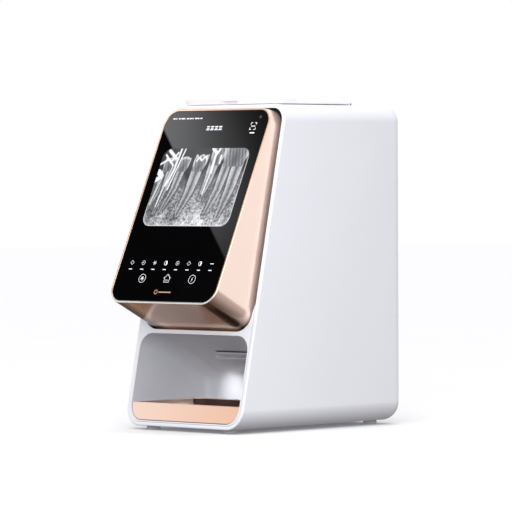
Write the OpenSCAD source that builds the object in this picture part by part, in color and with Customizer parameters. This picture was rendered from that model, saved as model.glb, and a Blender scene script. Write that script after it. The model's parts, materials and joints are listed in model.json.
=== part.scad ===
// Desktop scanner for dental imaging plates, with a touch screen.
// A plate goes in under the top lid, is fed down past a laser scan line and an
// eraser, and drops through a flap into the tray in the front niche.
// Millimetres, +Z up, origin at the middle of the bounding box's bottom.

/* [Case] */
// Width of the case
case_w = 140; // [130:1:180]
// Height of the case's top above the table
case_h = 280; // [262:1:340]
// Depth of the case at its bottom edge
case_d = 208; // [200:1:260]
// Backward lean of the front, degrees
front_lean = 12; // [10:0.5:13]
// Wall of the outer shell
wall = 3.4; // [2.6:0.1:4]
// Radius of the upper long edges
top_r = 15; // [10:0.5:17]
// Radius of the lower long edges
low_r = 17; // [12:0.5:18]
// Radius of the edges at the rear
rear_r = 12; // [8:0.5:14]
// Gap between casings that are fitted together
casing_gap = 0.3; // [0.2:0.05:0.5]

/* [Display] */
// Width of the touch glass
glass_w = 124.4; // [110:0.2:125]
// Length of the touch glass along its slope
glass_l = 178.6; // [160:0.2:182]
// Thickness of the touch glass
glass_t = 1.8; // [1:0.1:2.4]
// Corner radius of the touch glass
glass_r = 13; // [6:0.5:16]
// Backward lean of the glass, degrees
glass_lean = 24.4; // [22:0.1:26]
// Reach of the glass's lower edge in front of the case's foot line
glass_reach = 24.7; // [20:0.1:30]
// Height of the glass's lower edge
glass_low = 112.3; // [108:0.1:118]
// Polished rim around the glass
rim_w = 2; // [1.2:0.1:3]
// Height at which the housing's underside meets the front
seat_low = 87; // [85:0.5:92]
// Distance of the housing's upper edge below the case's top
seat_drop = 4.2; // [4.2:0.1:8]
// Width of the housing where it meets the front
seat_w = 126; // [112:0.5:127]
// Depth of the black frame behind the case's front rim
frame_recess = 4; // [3:0.5:5]
// Thickness of the black frame
frame_t = 3; // [2:0.5:3.5]

/* [Niche] */
// Width of the niche
niche_w = 130; // [118:0.5:130]
// Height of the niche's upper edge
niche_top = 83; // [76:0.5:83]
// Height of the niche's floor above the case's floor
niche_raise = 1.3; // [1.3:0.1:3]
// Corner radius of the niche
niche_r = 13.5; // [10:0.5:15]
// Depth of the niche's rear wall behind the case's foot line
niche_back = 98.8; // [96:0.2:104]
// Wall of the niche liner
liner_t = 1; // [0.8:0.1:1.1]

/* [Tray] */
// Height of the tray
tray_h = 15; // [12:0.5:18]
// Depth of the tray's rear wall behind the case's foot line
tray_back = 86; // [70:0.5:87]
// Wall of the tray
tray_wall = 1.8; // [1.2:0.1:2.4]
// Gap between the tray and the niche
tray_gap = 0.4; // [0.3:0.05:0.6]
// Thickness of the soft pad in the tray
pad_t = 0.8; // [0.5:0.1:1.5]

/* [Lid] */
// Width of the lid
lid_w = 116; // [100:1:118]
// Length of the lid from its front edge to its hinge
lid_l = 94; // [88:1:110]
// Thickness of the lid
lid_t = 2; // [1.6:0.1:2.6]
// Depth of the raised bar at the lid's front
bar_d = 25; // [20:1:32]
// Height of the raised bar above the case's top
bar_h = 5.8; // [4.8:0.1:7]
// Width of the finger notch
notch_w = 20; // [16:1:30]
// Radius of the lid's hinge knuckles
knuckle_r = 1.8; // [1.6:0.1:2]
// Radius of the lid's hinge pin
lid_pin_r = 0.9; // [0.7:0.05:1]

/* [Plate path] */
// Distance of the plate path behind the case's foot line
path_y = 74; // [73:0.5:76]
// Width of the plate path
path_w = 46; // [36:1:48]
// Clear thickness of the plate path
path_t = 5; // [4.4:0.1:6]
// Thickness of the guide sheets
guide_t = 1; // [0.8:0.1:1.2]
// Height of the upper rollers
upper_z = 215; // [205:1:220]
// Height of the lower rollers
lower_z = 125; // [122:1:130]
// Height of the scan line
scan_z = 170; // [160:1:175]
// Radius of the feed rollers
roller_r = 7; // [6:0.25:7.5]
// Gap that a plate is nipped in
nip = 0.8; // [0.6:0.1:1.2]
// Radius of the roller shafts
shaft_r = 2.5; // [2:0.1:3]
// Radial clearance of a shaft in its bearing
run_gap = 0.05; // [0.03:0.01:0.1]

/* [Chassis] */
// Clear width between the chassis plates
chassis_w = 56; // [54:1:58]
// Thickness of the chassis plates
plate_t = 1.5; // [1:0.1:2]
// Radius of the cross bars
bar_r = 3; // [2:0.25:3.5]
// Radius of the roller pulleys
pulley_r = 8; // [7:0.5:9]
// Radius of the motor pulley
pinion_r = 5; // [4:0.5:6]
// Thickness of the drive belt
belt_t = 1.2; // [0.8:0.1:1.6]
// Width of the drive belt
belt_w = 5; // [4:0.5:6]

/* [Rear] */
// Width of the rear cover
cover_w = 96; // [90:1:100]
// Height of the rear cover
cover_h = 120; // [100:1:130]
// Height of the rear cover's lower edge
cover_low = 26; // [24:1:32]
// Thickness of the rear cover
cover_t = 2.4; // [2:0.1:2.8]
// Width of the ledge that the rear cover sits on
ledge_w = 6; // [4:0.5:8]
// Swing of the power rocker, degrees
rocker_swing = 16; // [10:1:20]

/* [Base] */
// Height of the rubber feet
foot_h = 3.5; // [3:0.1:3.8]
// Radius of the rubber feet
foot_r = 6; // [5:0.5:7]
// Radius of the screws
screw_r = 1.5; // [1.25:0.05:1.6]
// Clearance of a screw in its hole
screw_gap = 0.1; // [0.05:0.01:0.2]

/* [Hidden] */
$fn = 64;
far = 400;
skin = 0.05;

// Places in the case are given from its foot line: the line where the leaning
// front, run on downwards, meets the table.
reach = glass_reach + rim_w * sin(glass_lean);
mid_y = (case_d - reach) / 2;
body_h = case_h - foot_h;
floor_z = foot_h + wall;
ceiling_z = case_h - wall;
niche_floor = floor_z + niche_raise;
seat_high = case_h - seat_drop;
frame_back = frame_recess + frame_t;

// Distance up the leaning front at height z, and its place at that height
function up(z) = z / cos(front_lean);
function front_y(z) = z * tan(front_lean);

module in_case() translate([0, -mid_y, 0]) children();

// Local X across, Y up the slope and Z out of the surface
module on_front() rotate([90 - front_lean, 0, 0]) children();

module on_glass()
    translate([0, -glass_reach, glass_low]) rotate([90 - glass_lean, 0, 0]) children();

// Draws in the Y-Z plane and extrudes evenly to both sides of the middle
module across(w)
    translate([-w / 2, 0, 0]) rotate([90, 0, 90]) linear_extrude(w) children();

// Draws in the X-Z plane and extrudes from y0 to y1
module along(y0, y1)
    translate([0, y1, 0]) rotate([90, 0, 0]) linear_extrude(y1 - y0) children();

// A rod along X between x0 and x1
module rod(r, x0, x1) translate([x0, 0, 0]) rotate([0, 90, 0]) cylinder(r = r, h = x1 - x0);

// A box between two corners
module block(a, b) translate(a) cube(b - a);

// A rectangle between two corners
module block_2d(a, b) translate(a) square(b - a);

// Rounded rectangle from the point [x, y] on, one radius above and one below
module rounded(x, y, w, h, r_up, r_low) {
    translate([x + r_low, y]) square([w - 2 * r_low, h / 2]);
    translate([x + r_up, y + h / 2]) square([w - 2 * r_up, h / 2]);
    translate([x, y + r_low]) square([w, h - r_low - r_up]);
    for (side = [0, 1]) {
        translate([side ? x + w - r_low : x + r_low, y + r_low]) circle(r_low);
        translate([side ? x + w - r_up : x + r_up, y + h - r_up]) circle(r_up);
    }
}

module rounded_plate(w, l, r, t) linear_extrude(t) rounded(-w / 2, 0, w, l, r, r);

/* ---- casings ---- */

// The case's cross-section run along Y, shrunk by a distance
module case_tube(shrink, y1)
    along(-far / 4, y1)
        rounded(-case_w / 2 + shrink, foot_h + shrink, case_w - 2 * shrink,
                body_h - 2 * shrink, top_r - shrink, low_r - shrink);

// The case with rounded rear edges, open towards the front
module case_block(shrink) {
    r = rear_r - shrink;
    intersection() {
        case_tube(shrink, case_d - shrink);
        translate([0, 0, -far / 4]) linear_extrude(far * 2)
            rounded(-case_w / 2 + shrink, -far / 4, case_w - 2 * shrink,
                    case_d - shrink + far / 4, r, r);
        across(far) rounded(-far / 4, foot_h + shrink, case_d - shrink + far / 4,
                            body_h - 2 * shrink, r, r);
    }
}

// Everything in front of the leaning front, moved out by a distance
module front_air(out)
    on_front() translate([-far / 2, -far / 4, out]) cube([far, far * 1.5, far]);

base_w = 72;
base_y0 = 26;
base_y1 = case_d - 22;
base_lip = 4;
lip_t = 1.4;
base_top = floor_z;
base_screw_x = base_w / 2 + base_lip / 2;
base_screw_y = [base_y0 + 14, base_y1 - 14];
funnel_w = path_w + 24;
funnel_y0 = path_y - 6;
funnel_y1 = path_y + 18;
hinge_y = front_y(case_h) + 1 + lid_l;
hinge_z = case_h + 0.6;
hinge_w = lid_w - 16;
ear_w = 6;
ear_gap = 0.3;
cover_mid = cover_low + cover_h / 2;
cover_y = case_d - wall;
ledge_t = 3;
cover_screw_x = cover_w / 2 - ledge_w / 2;
cover_screw_z = cover_h / 2 - ledge_w / 2;
sensor_size = [6, 3, 4];

// Half-round ears that hold the lid's hinge pin
module hinge_ears()
    for (side = [-1, 1])
        translate([side * (hinge_w / 2 + ear_gap + ear_w / 2), hinge_y, hinge_z]) {
            rod(knuckle_r, -ear_w / 2, ear_w / 2);
            block([-ear_w / 2, -knuckle_r, case_h - hinge_z - 1], [ear_w / 2, knuckle_r, 0]);
        }

// Frame inside the rear opening that the rear cover sits on
module cover_ledge()
    difference() {
        block([-cover_w / 2 - ledge_w, cover_y - ledge_t, cover_low - ledge_w],
              [cover_w / 2 + ledge_w, cover_y, cover_low + cover_h + ledge_w]);
        block([-cover_w / 2 + ledge_w, cover_y - ledge_t - 1, cover_low + ledge_w],
              [cover_w / 2 - ledge_w, cover_y + 1, cover_low + cover_h - ledge_w]);
        at_cover_screws() rotate([90, 0, 0])
            cylinder(r = screw_r + screw_gap, h = 3 * ledge_t, center = true);
    }

module outer_shell() color("white") in_case() {
    difference() {
        union() {
            difference() {
                case_block(0);
                case_block(wall);
                front_air(0);
            }
            hinge_ears();
        }
        // base opening, stepped so that the base plate seats from inside
        block([-base_w / 2, base_y0, 0], [base_w / 2, base_y1, floor_z + 1]);
        block([-base_w / 2 - base_lip, base_y0 - base_lip, floor_z - lip_t],
              [base_w / 2 + base_lip, base_y1 + base_lip, floor_z + 1]);
        // plate inlet
        block([-funnel_w / 2, funnel_y0, ceiling_z - 1], [funnel_w / 2, funnel_y1, case_h + 1]);
        // trough for the lid's hinge, and the pin's hole
        translate([0, hinge_y, hinge_z])
            rod(knuckle_r + ear_gap, -hinge_w / 2 - ear_gap, hinge_w / 2 + ear_gap);
        translate([0, hinge_y, hinge_z]) rod(lid_pin_r, -case_w, case_w);
        // rear opening
        block([-cover_w / 2, cover_y - 1, cover_low], [cover_w / 2, case_d + 1, cover_low + cover_h]);
        for (x = [-1, 1], y = base_screw_y)
            translate([x * base_screw_x, y, foot_h - 1])
                cylinder(r = screw_r + screw_gap, h = wall);
    }
    cover_ledge();
}

module at_cover_screws()
    for (x = [-1, 1], z = [-1, 1])
        translate([x * cover_screw_x, cover_y, cover_mid + z * cover_screw_z]) children();

frame_low = up(seat_low) + 0.3;
bracket_post_x = 30;
bracket_post_s = [up(seat_low + 89), up(seat_low + 153)];
window_low = up(seat_low + 24);
window_w = 76;
ribbon_x = -54;
ribbon_w = 14;
ribbon_z = 196;

module front_frame() color("#1c1c1e") in_case()
    difference() {
        intersection() {
            case_tube(wall + casing_gap, case_d);
            on_front() block([-far / 2, frame_low, -frame_back], [far / 2, far, -frame_recess]);
        }
        // way through for the screen's ribbon
        on_front() block([ribbon_x - 2, up(ribbon_z - 8), -frame_back - 1],
                         [ribbon_x + ribbon_w + 2, up(ribbon_z + 8), 0]);
        // lightening window behind the screen
        on_front() block([-window_w / 2, window_low, -frame_back - 1],
                         [window_w / 2, window_low + 26, 0]);
        for (x = [-1, 1], s = bracket_post_s)
            on_front() translate([x * bracket_post_x, s, -frame_back - 1])
                cylinder(r = screw_r + screw_gap, h = frame_t + 2);
    }

// Centres of the arcs in the niche's side view, clockwise from its mouth
function niche_centres() = let (
    r = niche_r, z0 = niche_top - r, y1 = niche_back - r)
    [[-20, z0], [front_y(z0) + 5, z0], [y1 - 44, z0 - 7], [y1 - 22, z0 - 18],
     [y1, z0 - 32], [y1, niche_floor + r], [-20, niche_floor + r]];

// Outline at a distance r around a clockwise chain of centres, with an arc at each
function around(c, r, steps) = let (n = len(c))
    [for (i = [0:n - 1]) let (
        a = c[i] - c[(i + n - 1) % n], b = c[(i + 1) % n] - c[i],
        start = atan2(a[1], a[0]) + 90,
        turn = (start - atan2(b[1], b[0]) - 90 + 720) % 360)
        for (k = [0:steps]) c[i] + r * [cos(start - turn * k / steps), sin(start - turn * k / steps)]];

// The niche's room, grown by a distance
module niche_room(grow) {
    w = niche_w + 2 * grow;
    r = niche_r + grow;
    intersection() {
        along(-far / 4, far)
            rounded(-w / 2, niche_floor - grow, w, niche_top - niche_floor + 2 * grow, r, r);
        linear_extrude(far)
            rounded(-w / 2, -far / 4, w, niche_back + grow + far / 4, r, r);
        across(far) polygon(around(niche_centres(), r, 5));
    }
}

flange_t = 2.5;
flange_top = up(seat_low) - 0.6;
exit_lean = 12;
exit_top = seat_low + 15;
exit_z = 70;
exit_shift = (exit_top - exit_z) * tan(exit_lean);

// Slanted lower end of the plate path, from its bend down to height z
module exit_channel(z)
    across(path_w)
        polygon([[path_y - path_t / 2, exit_top], [path_y + path_t / 2, exit_top],
                 [path_y + path_t / 2 - (exit_top - z) * tan(exit_lean), z],
                 [path_y - path_t / 2 - (exit_top - z) * tan(exit_lean), z]]);

module niche_liner() color("#e9e9ee") in_case()
    difference() {
        union() {
            niche_room(liner_t);
            // flange in the case's mouth, with a lip that closes the black frame's foot
            intersection() {
                case_tube(wall + casing_gap, case_d);
                on_front() {
                    block([-far / 2, 0, -flange_t], [far / 2, flange_top, 0]);
                    block([-far / 2, up(niche_top) + liner_t, -frame_back],
                          [far / 2, flange_top, 0]);
                }
            }
        }
        niche_room(0);
        front_air(0);
        exit_channel(niche_top / 2);
    }

// Slope of the niche's ceiling where plates drop through
lip_pos = [path_y - exit_shift - 0.4, 59.6];
lip_slope = -29;
lip_size = [path_w, 3.6, 1.2];
tooth_w = 1.6;
tooth_pitch = 3.2;

module exit_guide() color("#d8d8dc") in_case()
    translate([0, lip_pos[0] + path_t / 2, lip_pos[1]]) rotate([lip_slope, 0, 0]) {
        block([-lip_size[0] / 2, 0.5, -lip_size[2]], [lip_size[0] / 2, lip_size[1], 0]);
        for (i = [0:floor(path_w / tooth_pitch) - 1])
            translate([(i - (floor(path_w / tooth_pitch) - 1) / 2) * tooth_pitch - tooth_w / 2,
                       lip_size[1], -lip_size[2]])
                cube([tooth_w, 1.4, lip_size[2]]);
    }

flap_pin_r = 0.7;
flap_barrel_r = 1;
flap_t = 0.8;
flap_l = 4;
flap_slope = 27;
flap_ear_t = 2;
flap_z = exit_z + 3;
flap_y = path_y + path_t / 2 - (exit_top - flap_z) * tan(exit_lean) - flap_barrel_r - 0.5;

module exit_flap() color("#2a2a2c") in_case() {
    half = path_w / 2 - 0.5;
    translate([0, flap_y, flap_z]) {
        rod(flap_barrel_r, -half, half);
        for (side = [-1, 1])
            translate([side * (half + flap_ear_t / 2), 0, 0])
                rod(flap_pin_r, -flap_ear_t / 2 - 0.4, flap_ear_t / 2 + 0.4);
        rotate([flap_slope, 0, 0])
            block([-half + 0.4, -flap_l, -flap_t / 2],
                  [half - 0.4, -flap_barrel_r / 2, flap_t / 2]);
    }
}

tray_low = niche_floor + tray_gap;
tray_top = tray_low + tray_h;
tray_w = niche_w - 2 * tray_gap;
tray_r = niche_r - tray_gap;
tray_front = 0.8;

module tray_block(shrink, low) {
    r = tray_r - shrink;
    intersection() {
        along(-far / 4, tray_back - shrink)
            rounded(-tray_w / 2 + shrink, low, tray_w - 2 * shrink, 3 * tray_r, 1, r);
        translate([0, 0, low - 1]) linear_extrude(tray_top - low + 1 + (shrink > 0 ? 1 : 0))
            rounded(-tray_w / 2 + shrink, -far / 4, tray_w - 2 * shrink,
                    tray_back - shrink + far / 4, r, 1);
    }
}

module collecting_tray() color("#e8b48c") in_case()
    difference() {
        tray_block(0, tray_low);
        front_air(-tray_front);
        difference() {
            tray_block(tray_wall, tray_low + tray_wall);
            front_air(-tray_front - tray_wall);
        }
    }

module tray_pad() color("#5a3320") in_case()
    block([-niche_w / 2 + niche_r + 2, front_y(tray_low) + 10, tray_low + tray_wall],
          [niche_w / 2 - niche_r - 2, tray_back - 14, tray_low + tray_wall + pad_t]);

/* ---- display ---- */

glass_sink = 0.2;
gasket_t = 0.5;
glass_gap = 0.15;
lip_w = 3;
seat_r = glass_r + rim_w;
room_w = glass_w - 2 * lip_w;
room_l = glass_l - 2 * lip_w;
room_front = glass_sink + glass_t + gasket_t;

module display_housing() color("#e2a87c") in_case()
    difference() {
        hull() {
            on_glass() translate([0, -rim_w, -0.6])
                rounded_plate(glass_w + 2 * rim_w, glass_l + 2 * rim_w, seat_r, 0.6, $fn = 48);
            on_front() translate([0, up(seat_low), -frame_recess])
                rounded_plate(seat_w, up(seat_high) - up(seat_low), seat_r, 0.6, $fn = 48);
        }
        on_glass() translate([0, -glass_gap, -room_front])
            rounded_plate(glass_w + 2 * glass_gap, glass_l + 2 * glass_gap,
                          glass_r + glass_gap, far);
        on_glass() translate([0, lip_w, -far / 2])
            rounded_plate(room_w, room_l, glass_r - lip_w, far);
    }

module display_gasket() color("#111111") in_case()
    on_glass() translate([0, 0, -room_front]) difference() {
        translate([0, 0.5, 0]) rounded_plate(glass_w - 1, glass_l - 1, glass_r - 0.5, gasket_t);
        translate([0, lip_w, -1]) rounded_plate(room_w, room_l, glass_r - lip_w, gasket_t + 2);
    }

module touch_glass() color("#08080a") in_case()
    on_glass() translate([0, 0, -glass_sink - glass_t])
        rounded_plate(glass_w, glass_l, glass_r, glass_t);

// a square corner clears the round corner of the room in front of it
lcd_gap = (glass_r - lip_w) * (1 - sqrt(0.5)) + 0.3;
lcd_t = 3.4;
lcd_front = glass_sink + glass_t + skin;
bracket_t = 1.2;
bracket_front = lcd_front + lcd_t + skin;
board_front = bracket_front + bracket_t + 3;
board_t = 1.6;
peg_x = 36;
peg_s = 43;
peg_r = 3;
post_r = 4;

module lcd_panel() color("#3a3a40") in_case()
    on_glass() block([-room_w / 2 + lcd_gap, lip_w + lcd_gap, -lcd_front - lcd_t],
                     [room_w / 2 - lcd_gap, lip_w + room_l - lcd_gap, -lcd_front]);

module display_board() color("#1f6b3a") in_case()
    on_glass() difference() {
        block([-room_w / 2 + 1.5, 24, -board_front - board_t], [room_w / 2 - 1.5, 62, -board_front]);
        for (x = [-1, 1])
            translate([x * peg_x, peg_s, -board_front - board_t - 1])
                cylinder(r = screw_r + screw_gap, h = board_t + 2);
    }

module display_bracket() color("#b9bcc0") in_case() {
    on_glass() block([-room_w / 2 + 0.3, 16, -bracket_front - bracket_t],
                     [room_w / 2 - 0.3, 150, -bracket_front]);
    // pegs that carry the screen's board
    on_glass() for (x = [-1, 1])
        translate([x * peg_x, peg_s, -board_front - board_t]) {
            cylinder(r = screw_r, h = board_t + 1);
            translate([0, 0, board_t])
                cylinder(r = peg_r, h = board_front - bracket_front - bracket_t + skin);
        }
    // posts that the screws pull against the black frame
    difference() {
        intersection() {
            on_front() for (x = [-1, 1], s = bracket_post_s)
                translate([x * bracket_post_x, s, -frame_recess]) cylinder(r = post_r, h = far / 4);
            on_glass() block([-far, -far, -far], [far, far, -bracket_front - bracket_t + skin]);
        }
        on_front() for (x = [-1, 1], s = bracket_post_s)
            translate([x * bracket_post_x, s, -frame_recess - 1]) cylinder(r = screw_r, h = 8);
    }
}

module screw(length, head_r, head_t) {
    cylinder(r = screw_r, h = length);
    translate([0, 0, -head_t]) cylinder(r = head_r, h = head_t);
}

module display_screws() color("#8a8d92") in_case()
    on_front() for (x = [-1, 1], s = bracket_post_s)
        translate([x * bracket_post_x, s, -frame_back]) screw(frame_t + 5, 2.8, 1.6);

module display_ribbon() color("#c9803c") in_case() {
    start_y = -glass_reach + peg_s * sin(glass_lean) + (board_front + board_t + 1) * cos(glass_lean);
    start_z = glass_low + peg_s * cos(glass_lean) - (board_front + board_t + 1) * sin(glass_lean);
    route = [[start_y, start_z], [start_y + 8, start_z + 14], [front_y(ribbon_z) - 6, ribbon_z - 3],
             [front_y(ribbon_z) + 16, ribbon_z], [main_y0 + 2, ribbon_z]];
    translate([ribbon_x + ribbon_w / 2, 0, 0]) across(ribbon_w)
        polygon(concat(route, [for (i = [len(route) - 1:-1:0]) route[i] + [0, 0.6]]));
}

/* ---- lid and plate inlet ---- */

lid_front = front_y(case_h) + 1;
lid_z = case_h + 0.4;
lid_r = 10;
web_gap = 0.6;
magnet_r = 3;
magnet_h = 2.4;
magnet_x = lid_w / 2 - 12;
magnet_y = lid_front + 7;
pocket_w = funnel_w + 4;

module lid_outline(y1) rounded(-lid_w / 2, lid_front, lid_w, y1 - lid_front, 3, lid_r);

module inlet_lid() color("#f4f4f6") in_case()
    difference() {
        union() {
            translate([0, 0, lid_z]) linear_extrude(lid_t) lid_outline(hinge_y - knuckle_r - web_gap);
            translate([0, 0, lid_z]) linear_extrude(case_h + bar_h - lid_z)
                lid_outline(lid_front + bar_d);
            // hinge knuckle and its web
            translate([0, hinge_y, hinge_z]) rod(knuckle_r, -hinge_w / 2, hinge_w / 2);
            block([-hinge_w / 2, hinge_y - knuckle_r - web_gap - 1, lid_z],
                  [hinge_w / 2, hinge_y, hinge_z + knuckle_r]);
        }
        translate([0, hinge_y, hinge_z]) rod(lid_pin_r + run_gap, -lid_w, lid_w);
        // hollow of the bar
        translate([0, 0, lid_z - 1]) linear_extrude(case_h + bar_h - lid_z - lid_t + 1)
            rounded(-pocket_w / 2, lid_front + 5, pocket_w, bar_d - 8, 2, 2);
        // finger notch
        block([-notch_w / 2, lid_front - 1, lid_z - 1], [notch_w / 2, lid_front + 3.2, lid_z + 3]);
        // seat of the magnet
        translate([magnet_x, magnet_y, lid_z - 1]) cylinder(r = magnet_r + skin, h = magnet_h + 1);
    }

module lid_magnet() color("#9a9da3") in_case()
    translate([magnet_x, magnet_y, lid_z]) cylinder(r = magnet_r, h = magnet_h - skin);

module lid_pin() color("#b0b3b8") in_case()
    translate([0, hinge_y, hinge_z])
        rod(lid_pin_r, -hinge_w / 2 - ear_gap - ear_w, hinge_w / 2 + ear_gap + ear_w);

module lid_sensor() color("#202226") in_case()
    translate([magnet_x, magnet_y + 1, ceiling_z - sensor_size[2]])
        block([-sensor_size[0] / 2, -sensor_size[1] / 2, 0],
              [sensor_size[0] / 2, sensor_size[1] / 2, sensor_size[2]]);

funnel_t = 1.6;
neck_z = case_h - 22;
mouth_z = case_h - 8;
guide_top = neck_z - 0.5;

module inlet_funnel() color("#3b3d42") in_case()
    difference() {
        union() {
            block([-funnel_w / 2 + casing_gap, funnel_y0 + casing_gap, mouth_z - 2],
                  [funnel_w / 2 - casing_gap, funnel_y1 - casing_gap, case_h - 0.2]);
            block([-path_w / 2 - funnel_t, path_y - path_t / 2 - funnel_t, neck_z],
                  [path_w / 2 + funnel_t, path_y + path_t / 2 + funnel_t, mouth_z]);
        }
        across(path_w)
            polygon([[path_y - path_t / 2, neck_z - 1], [path_y + path_t / 2, neck_z - 1],
                     [path_y + path_t / 2, mouth_z], [funnel_y1 - 4, case_h + 1],
                     [funnel_y0 + 2.2, case_h + 1], [path_y - path_t / 2, mouth_z]]);
    }

/* ---- rear cover and sockets ---- */

rear_face = cover_y + cover_t;
mains_x = -26;
switch_x = 8;
low_row = cover_low + 22;
net_x = -28;
usb_x = 6;
mid_row = low_row + 28;
mains_hole = [18, 10.5];
switch_hole = [14, 20];
net_hole = [12.4, 8.4];
usb_hole = [13.2, 6];
vent_w = 64;
vent_h = 3;
vent_pitch = 7;

module at_rear(x, z) translate([x, cover_y, z]) children();

module rear_hole(x, z, size)
    at_rear(x, z) block([-size[0] / 2, -1, -size[1] / 2], [size[0] / 2, cover_t + 1, size[1] / 2]);

module rear_cover() color("#ececf0") in_case()
    difference() {
        block([-cover_w / 2 + casing_gap, cover_y, cover_low + casing_gap],
              [cover_w / 2 - casing_gap, rear_face, cover_low + cover_h - casing_gap]);
        rear_hole(mains_x, low_row, mains_hole);
        rear_hole(switch_x, low_row, switch_hole);
        rear_hole(net_x, mid_row, net_hole);
        rear_hole(usb_x, mid_row, usb_hole);
        for (i = [0:5])
            rear_hole(0, cover_low + cover_h - 18 - i * vent_pitch, [vent_w, vent_h]);
        at_cover_screws() rotate([-90, 0, 0]) translate([0, 0, -1])
            cylinder(r = screw_r + screw_gap, h = cover_t + 2);
    }

module rear_screws() color("#8a8d92") in_case()
    at_cover_screws() translate([0, cover_t, 0]) rotate([90, 0, 0]) screw(cover_t + ledge_t, 2.6, 0.9);

socket_d = 14;
socket_t = 1.5;
pin_r = 1.2;
pin_pitch = 8.6;

module mains_inlet() color("#18181a") in_case()
    at_rear(mains_x, low_row) difference() {
        union() {
            block([-13, -2, -8], [13, 0, 8]);
            block([-mains_hole[0] / 2 - socket_t, -socket_d - 2, -mains_hole[1] / 2 - socket_t],
                  [mains_hole[0] / 2 + socket_t, 0, mains_hole[1] / 2 + socket_t]);
        }
        block([-mains_hole[0] / 2, -socket_d, -mains_hole[1] / 2 + 0.5],
              [mains_hole[0] / 2, 1, mains_hole[1] / 2 - 0.5]);
        for (x = [-1, 1])
            translate([x * pin_pitch / 2, -socket_d - 3, 0]) rotate([-90, 0, 0])
                cylinder(r = pin_r, h = 4);
    }

module inlet_pins() color("#c8c2a8") in_case()
    at_rear(mains_x, low_row)
        for (x = [-1, 1])
            translate([x * pin_pitch / 2, -socket_d - 4, 0]) rotate([-90, 0, 0])
                cylinder(r = pin_r, h = socket_d);

module socket_shell(hole, depth, t)
    difference() {
        block([-hole[0] / 2 - t, -depth - t, -hole[1] / 2 - t],
              [hole[0] / 2 + t, 0, hole[1] / 2 + t]);
        block([-hole[0] / 2, -depth, -hole[1] / 2], [hole[0] / 2, 1, hole[1] / 2]);
    }

module network_socket() color("#a9adb3") in_case()
    at_rear(net_x, mid_row) {
        socket_shell(net_hole, 14, 1);
        for (i = [0:7])
            translate([(i - 3.5) * 1.1 - 0.2, -11, net_hole[1] / 2 - 1.2]) cube([0.4, 9, 1.2]);
    }

module usb_socket() color("#a9adb3") in_case()
    at_rear(usb_x, mid_row) {
        socket_shell(usb_hole, 13, 0.6);
        block([-usb_hole[0] / 2 + 1, -13, 0.2], [usb_hole[0] / 2 - 1, -2, 2]);
    }

rocker_pin_r = 1;
rocker_y = cover_y - 3;
rocker_w = switch_hole[0] - 3;

module switch_body() color("#18181a") in_case()
    difference() {
        block([switch_x - switch_hole[0] / 2 - socket_t, rocker_y - socket_d,
               low_row - switch_hole[1] / 2 - socket_t],
              [switch_x + switch_hole[0] / 2 + socket_t, cover_y, low_row + switch_hole[1] / 2 + socket_t]);
        block([switch_x - rocker_w / 2 - 0.4, rocker_y - 8, low_row - switch_hole[1] / 2],
              [switch_x + rocker_w / 2 + 0.4, cover_y + 1, low_row + switch_hole[1] / 2]);
        translate([switch_x, rocker_y, low_row]) rod(rocker_pin_r + run_gap, -rocker_w, rocker_w);
    }

// A wedge that rocks about its pin, at rest with its lower end pressed in
module power_rocker() color("#2c2c30") in_case()
    translate([switch_x, rocker_y, low_row]) {
        rod(rocker_pin_r, -rocker_w / 2 - 1.7, rocker_w / 2 + 1.7);
        across(rocker_w) rotate(-rocker_swing / 2) polygon([
            [-2.2, -2.5], [1, -8.6], [3, -8.4], [4, 0], [3, 8.4], [1, 8.6], [-2.2, 2.5]]);
    }

/* ---- base ---- */

module base_plate() color("#d6d6da") in_case()
    difference() {
        union() {
            block([-base_w / 2 + casing_gap, base_y0 + casing_gap, foot_h + 0.4],
                  [base_w / 2 - casing_gap, base_y1 - casing_gap, floor_z - lip_t + skin]);
            block([-base_w / 2 - base_lip + casing_gap, base_y0 - base_lip + casing_gap,
                   floor_z - lip_t],
                  [base_w / 2 + base_lip - casing_gap, base_y1 + base_lip - casing_gap, floor_z]);
        }
        for (x = [-1, 1], y = base_screw_y)
            translate([x * base_screw_x, y, 0]) cylinder(r = screw_r, h = far / 8);
    }

module base_screws() color("#8a8d92") in_case()
    for (x = [-1, 1], y = base_screw_y)
        translate([x * base_screw_x, y, foot_h]) screw(wall, 2.6, 1);

foot_x = case_w / 2 - low_r - foot_r - 1;
foot_y = [13, case_d - rear_r - foot_r - 1];

module rubber_feet() color("#2b2b2e") in_case()
    for (x = [-1, 1], y = foot_y) translate([x * foot_x, y, 0]) {
        cylinder(r1 = foot_r - 0.6, r2 = foot_r, h = 0.6);
        translate([0, 0, 0.6]) cylinder(r = foot_r, h = foot_h - 0.6);
    }

/* ---- chassis ---- */

plate_x = chassis_w / 2;
nip_y = roller_r + nip / 2;
drive_y = path_y + nip_y;
idler_y = path_y - nip_y;
motor_y = drive_y + 31;
motor_z = lower_z - 7;
bearing_r = shaft_r + 2.5;
chassis_front = idler_y - bearing_r - 6;
chassis_rear = path_y + 76;
chassis_low = seat_low + 13;
chassis_high = upper_z + 33;
leg_y0 = niche_back + 12;
leg_y1 = case_d - 24;
bars = [[chassis_rear - 8, chassis_high - 8], [chassis_rear - 8, chassis_low + 12],
        [leg_y0 + 9, floor_z + 13], [leg_y1 - 8, floor_z + 13], [leg_y1 - 8, chassis_low - 4]];

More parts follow.
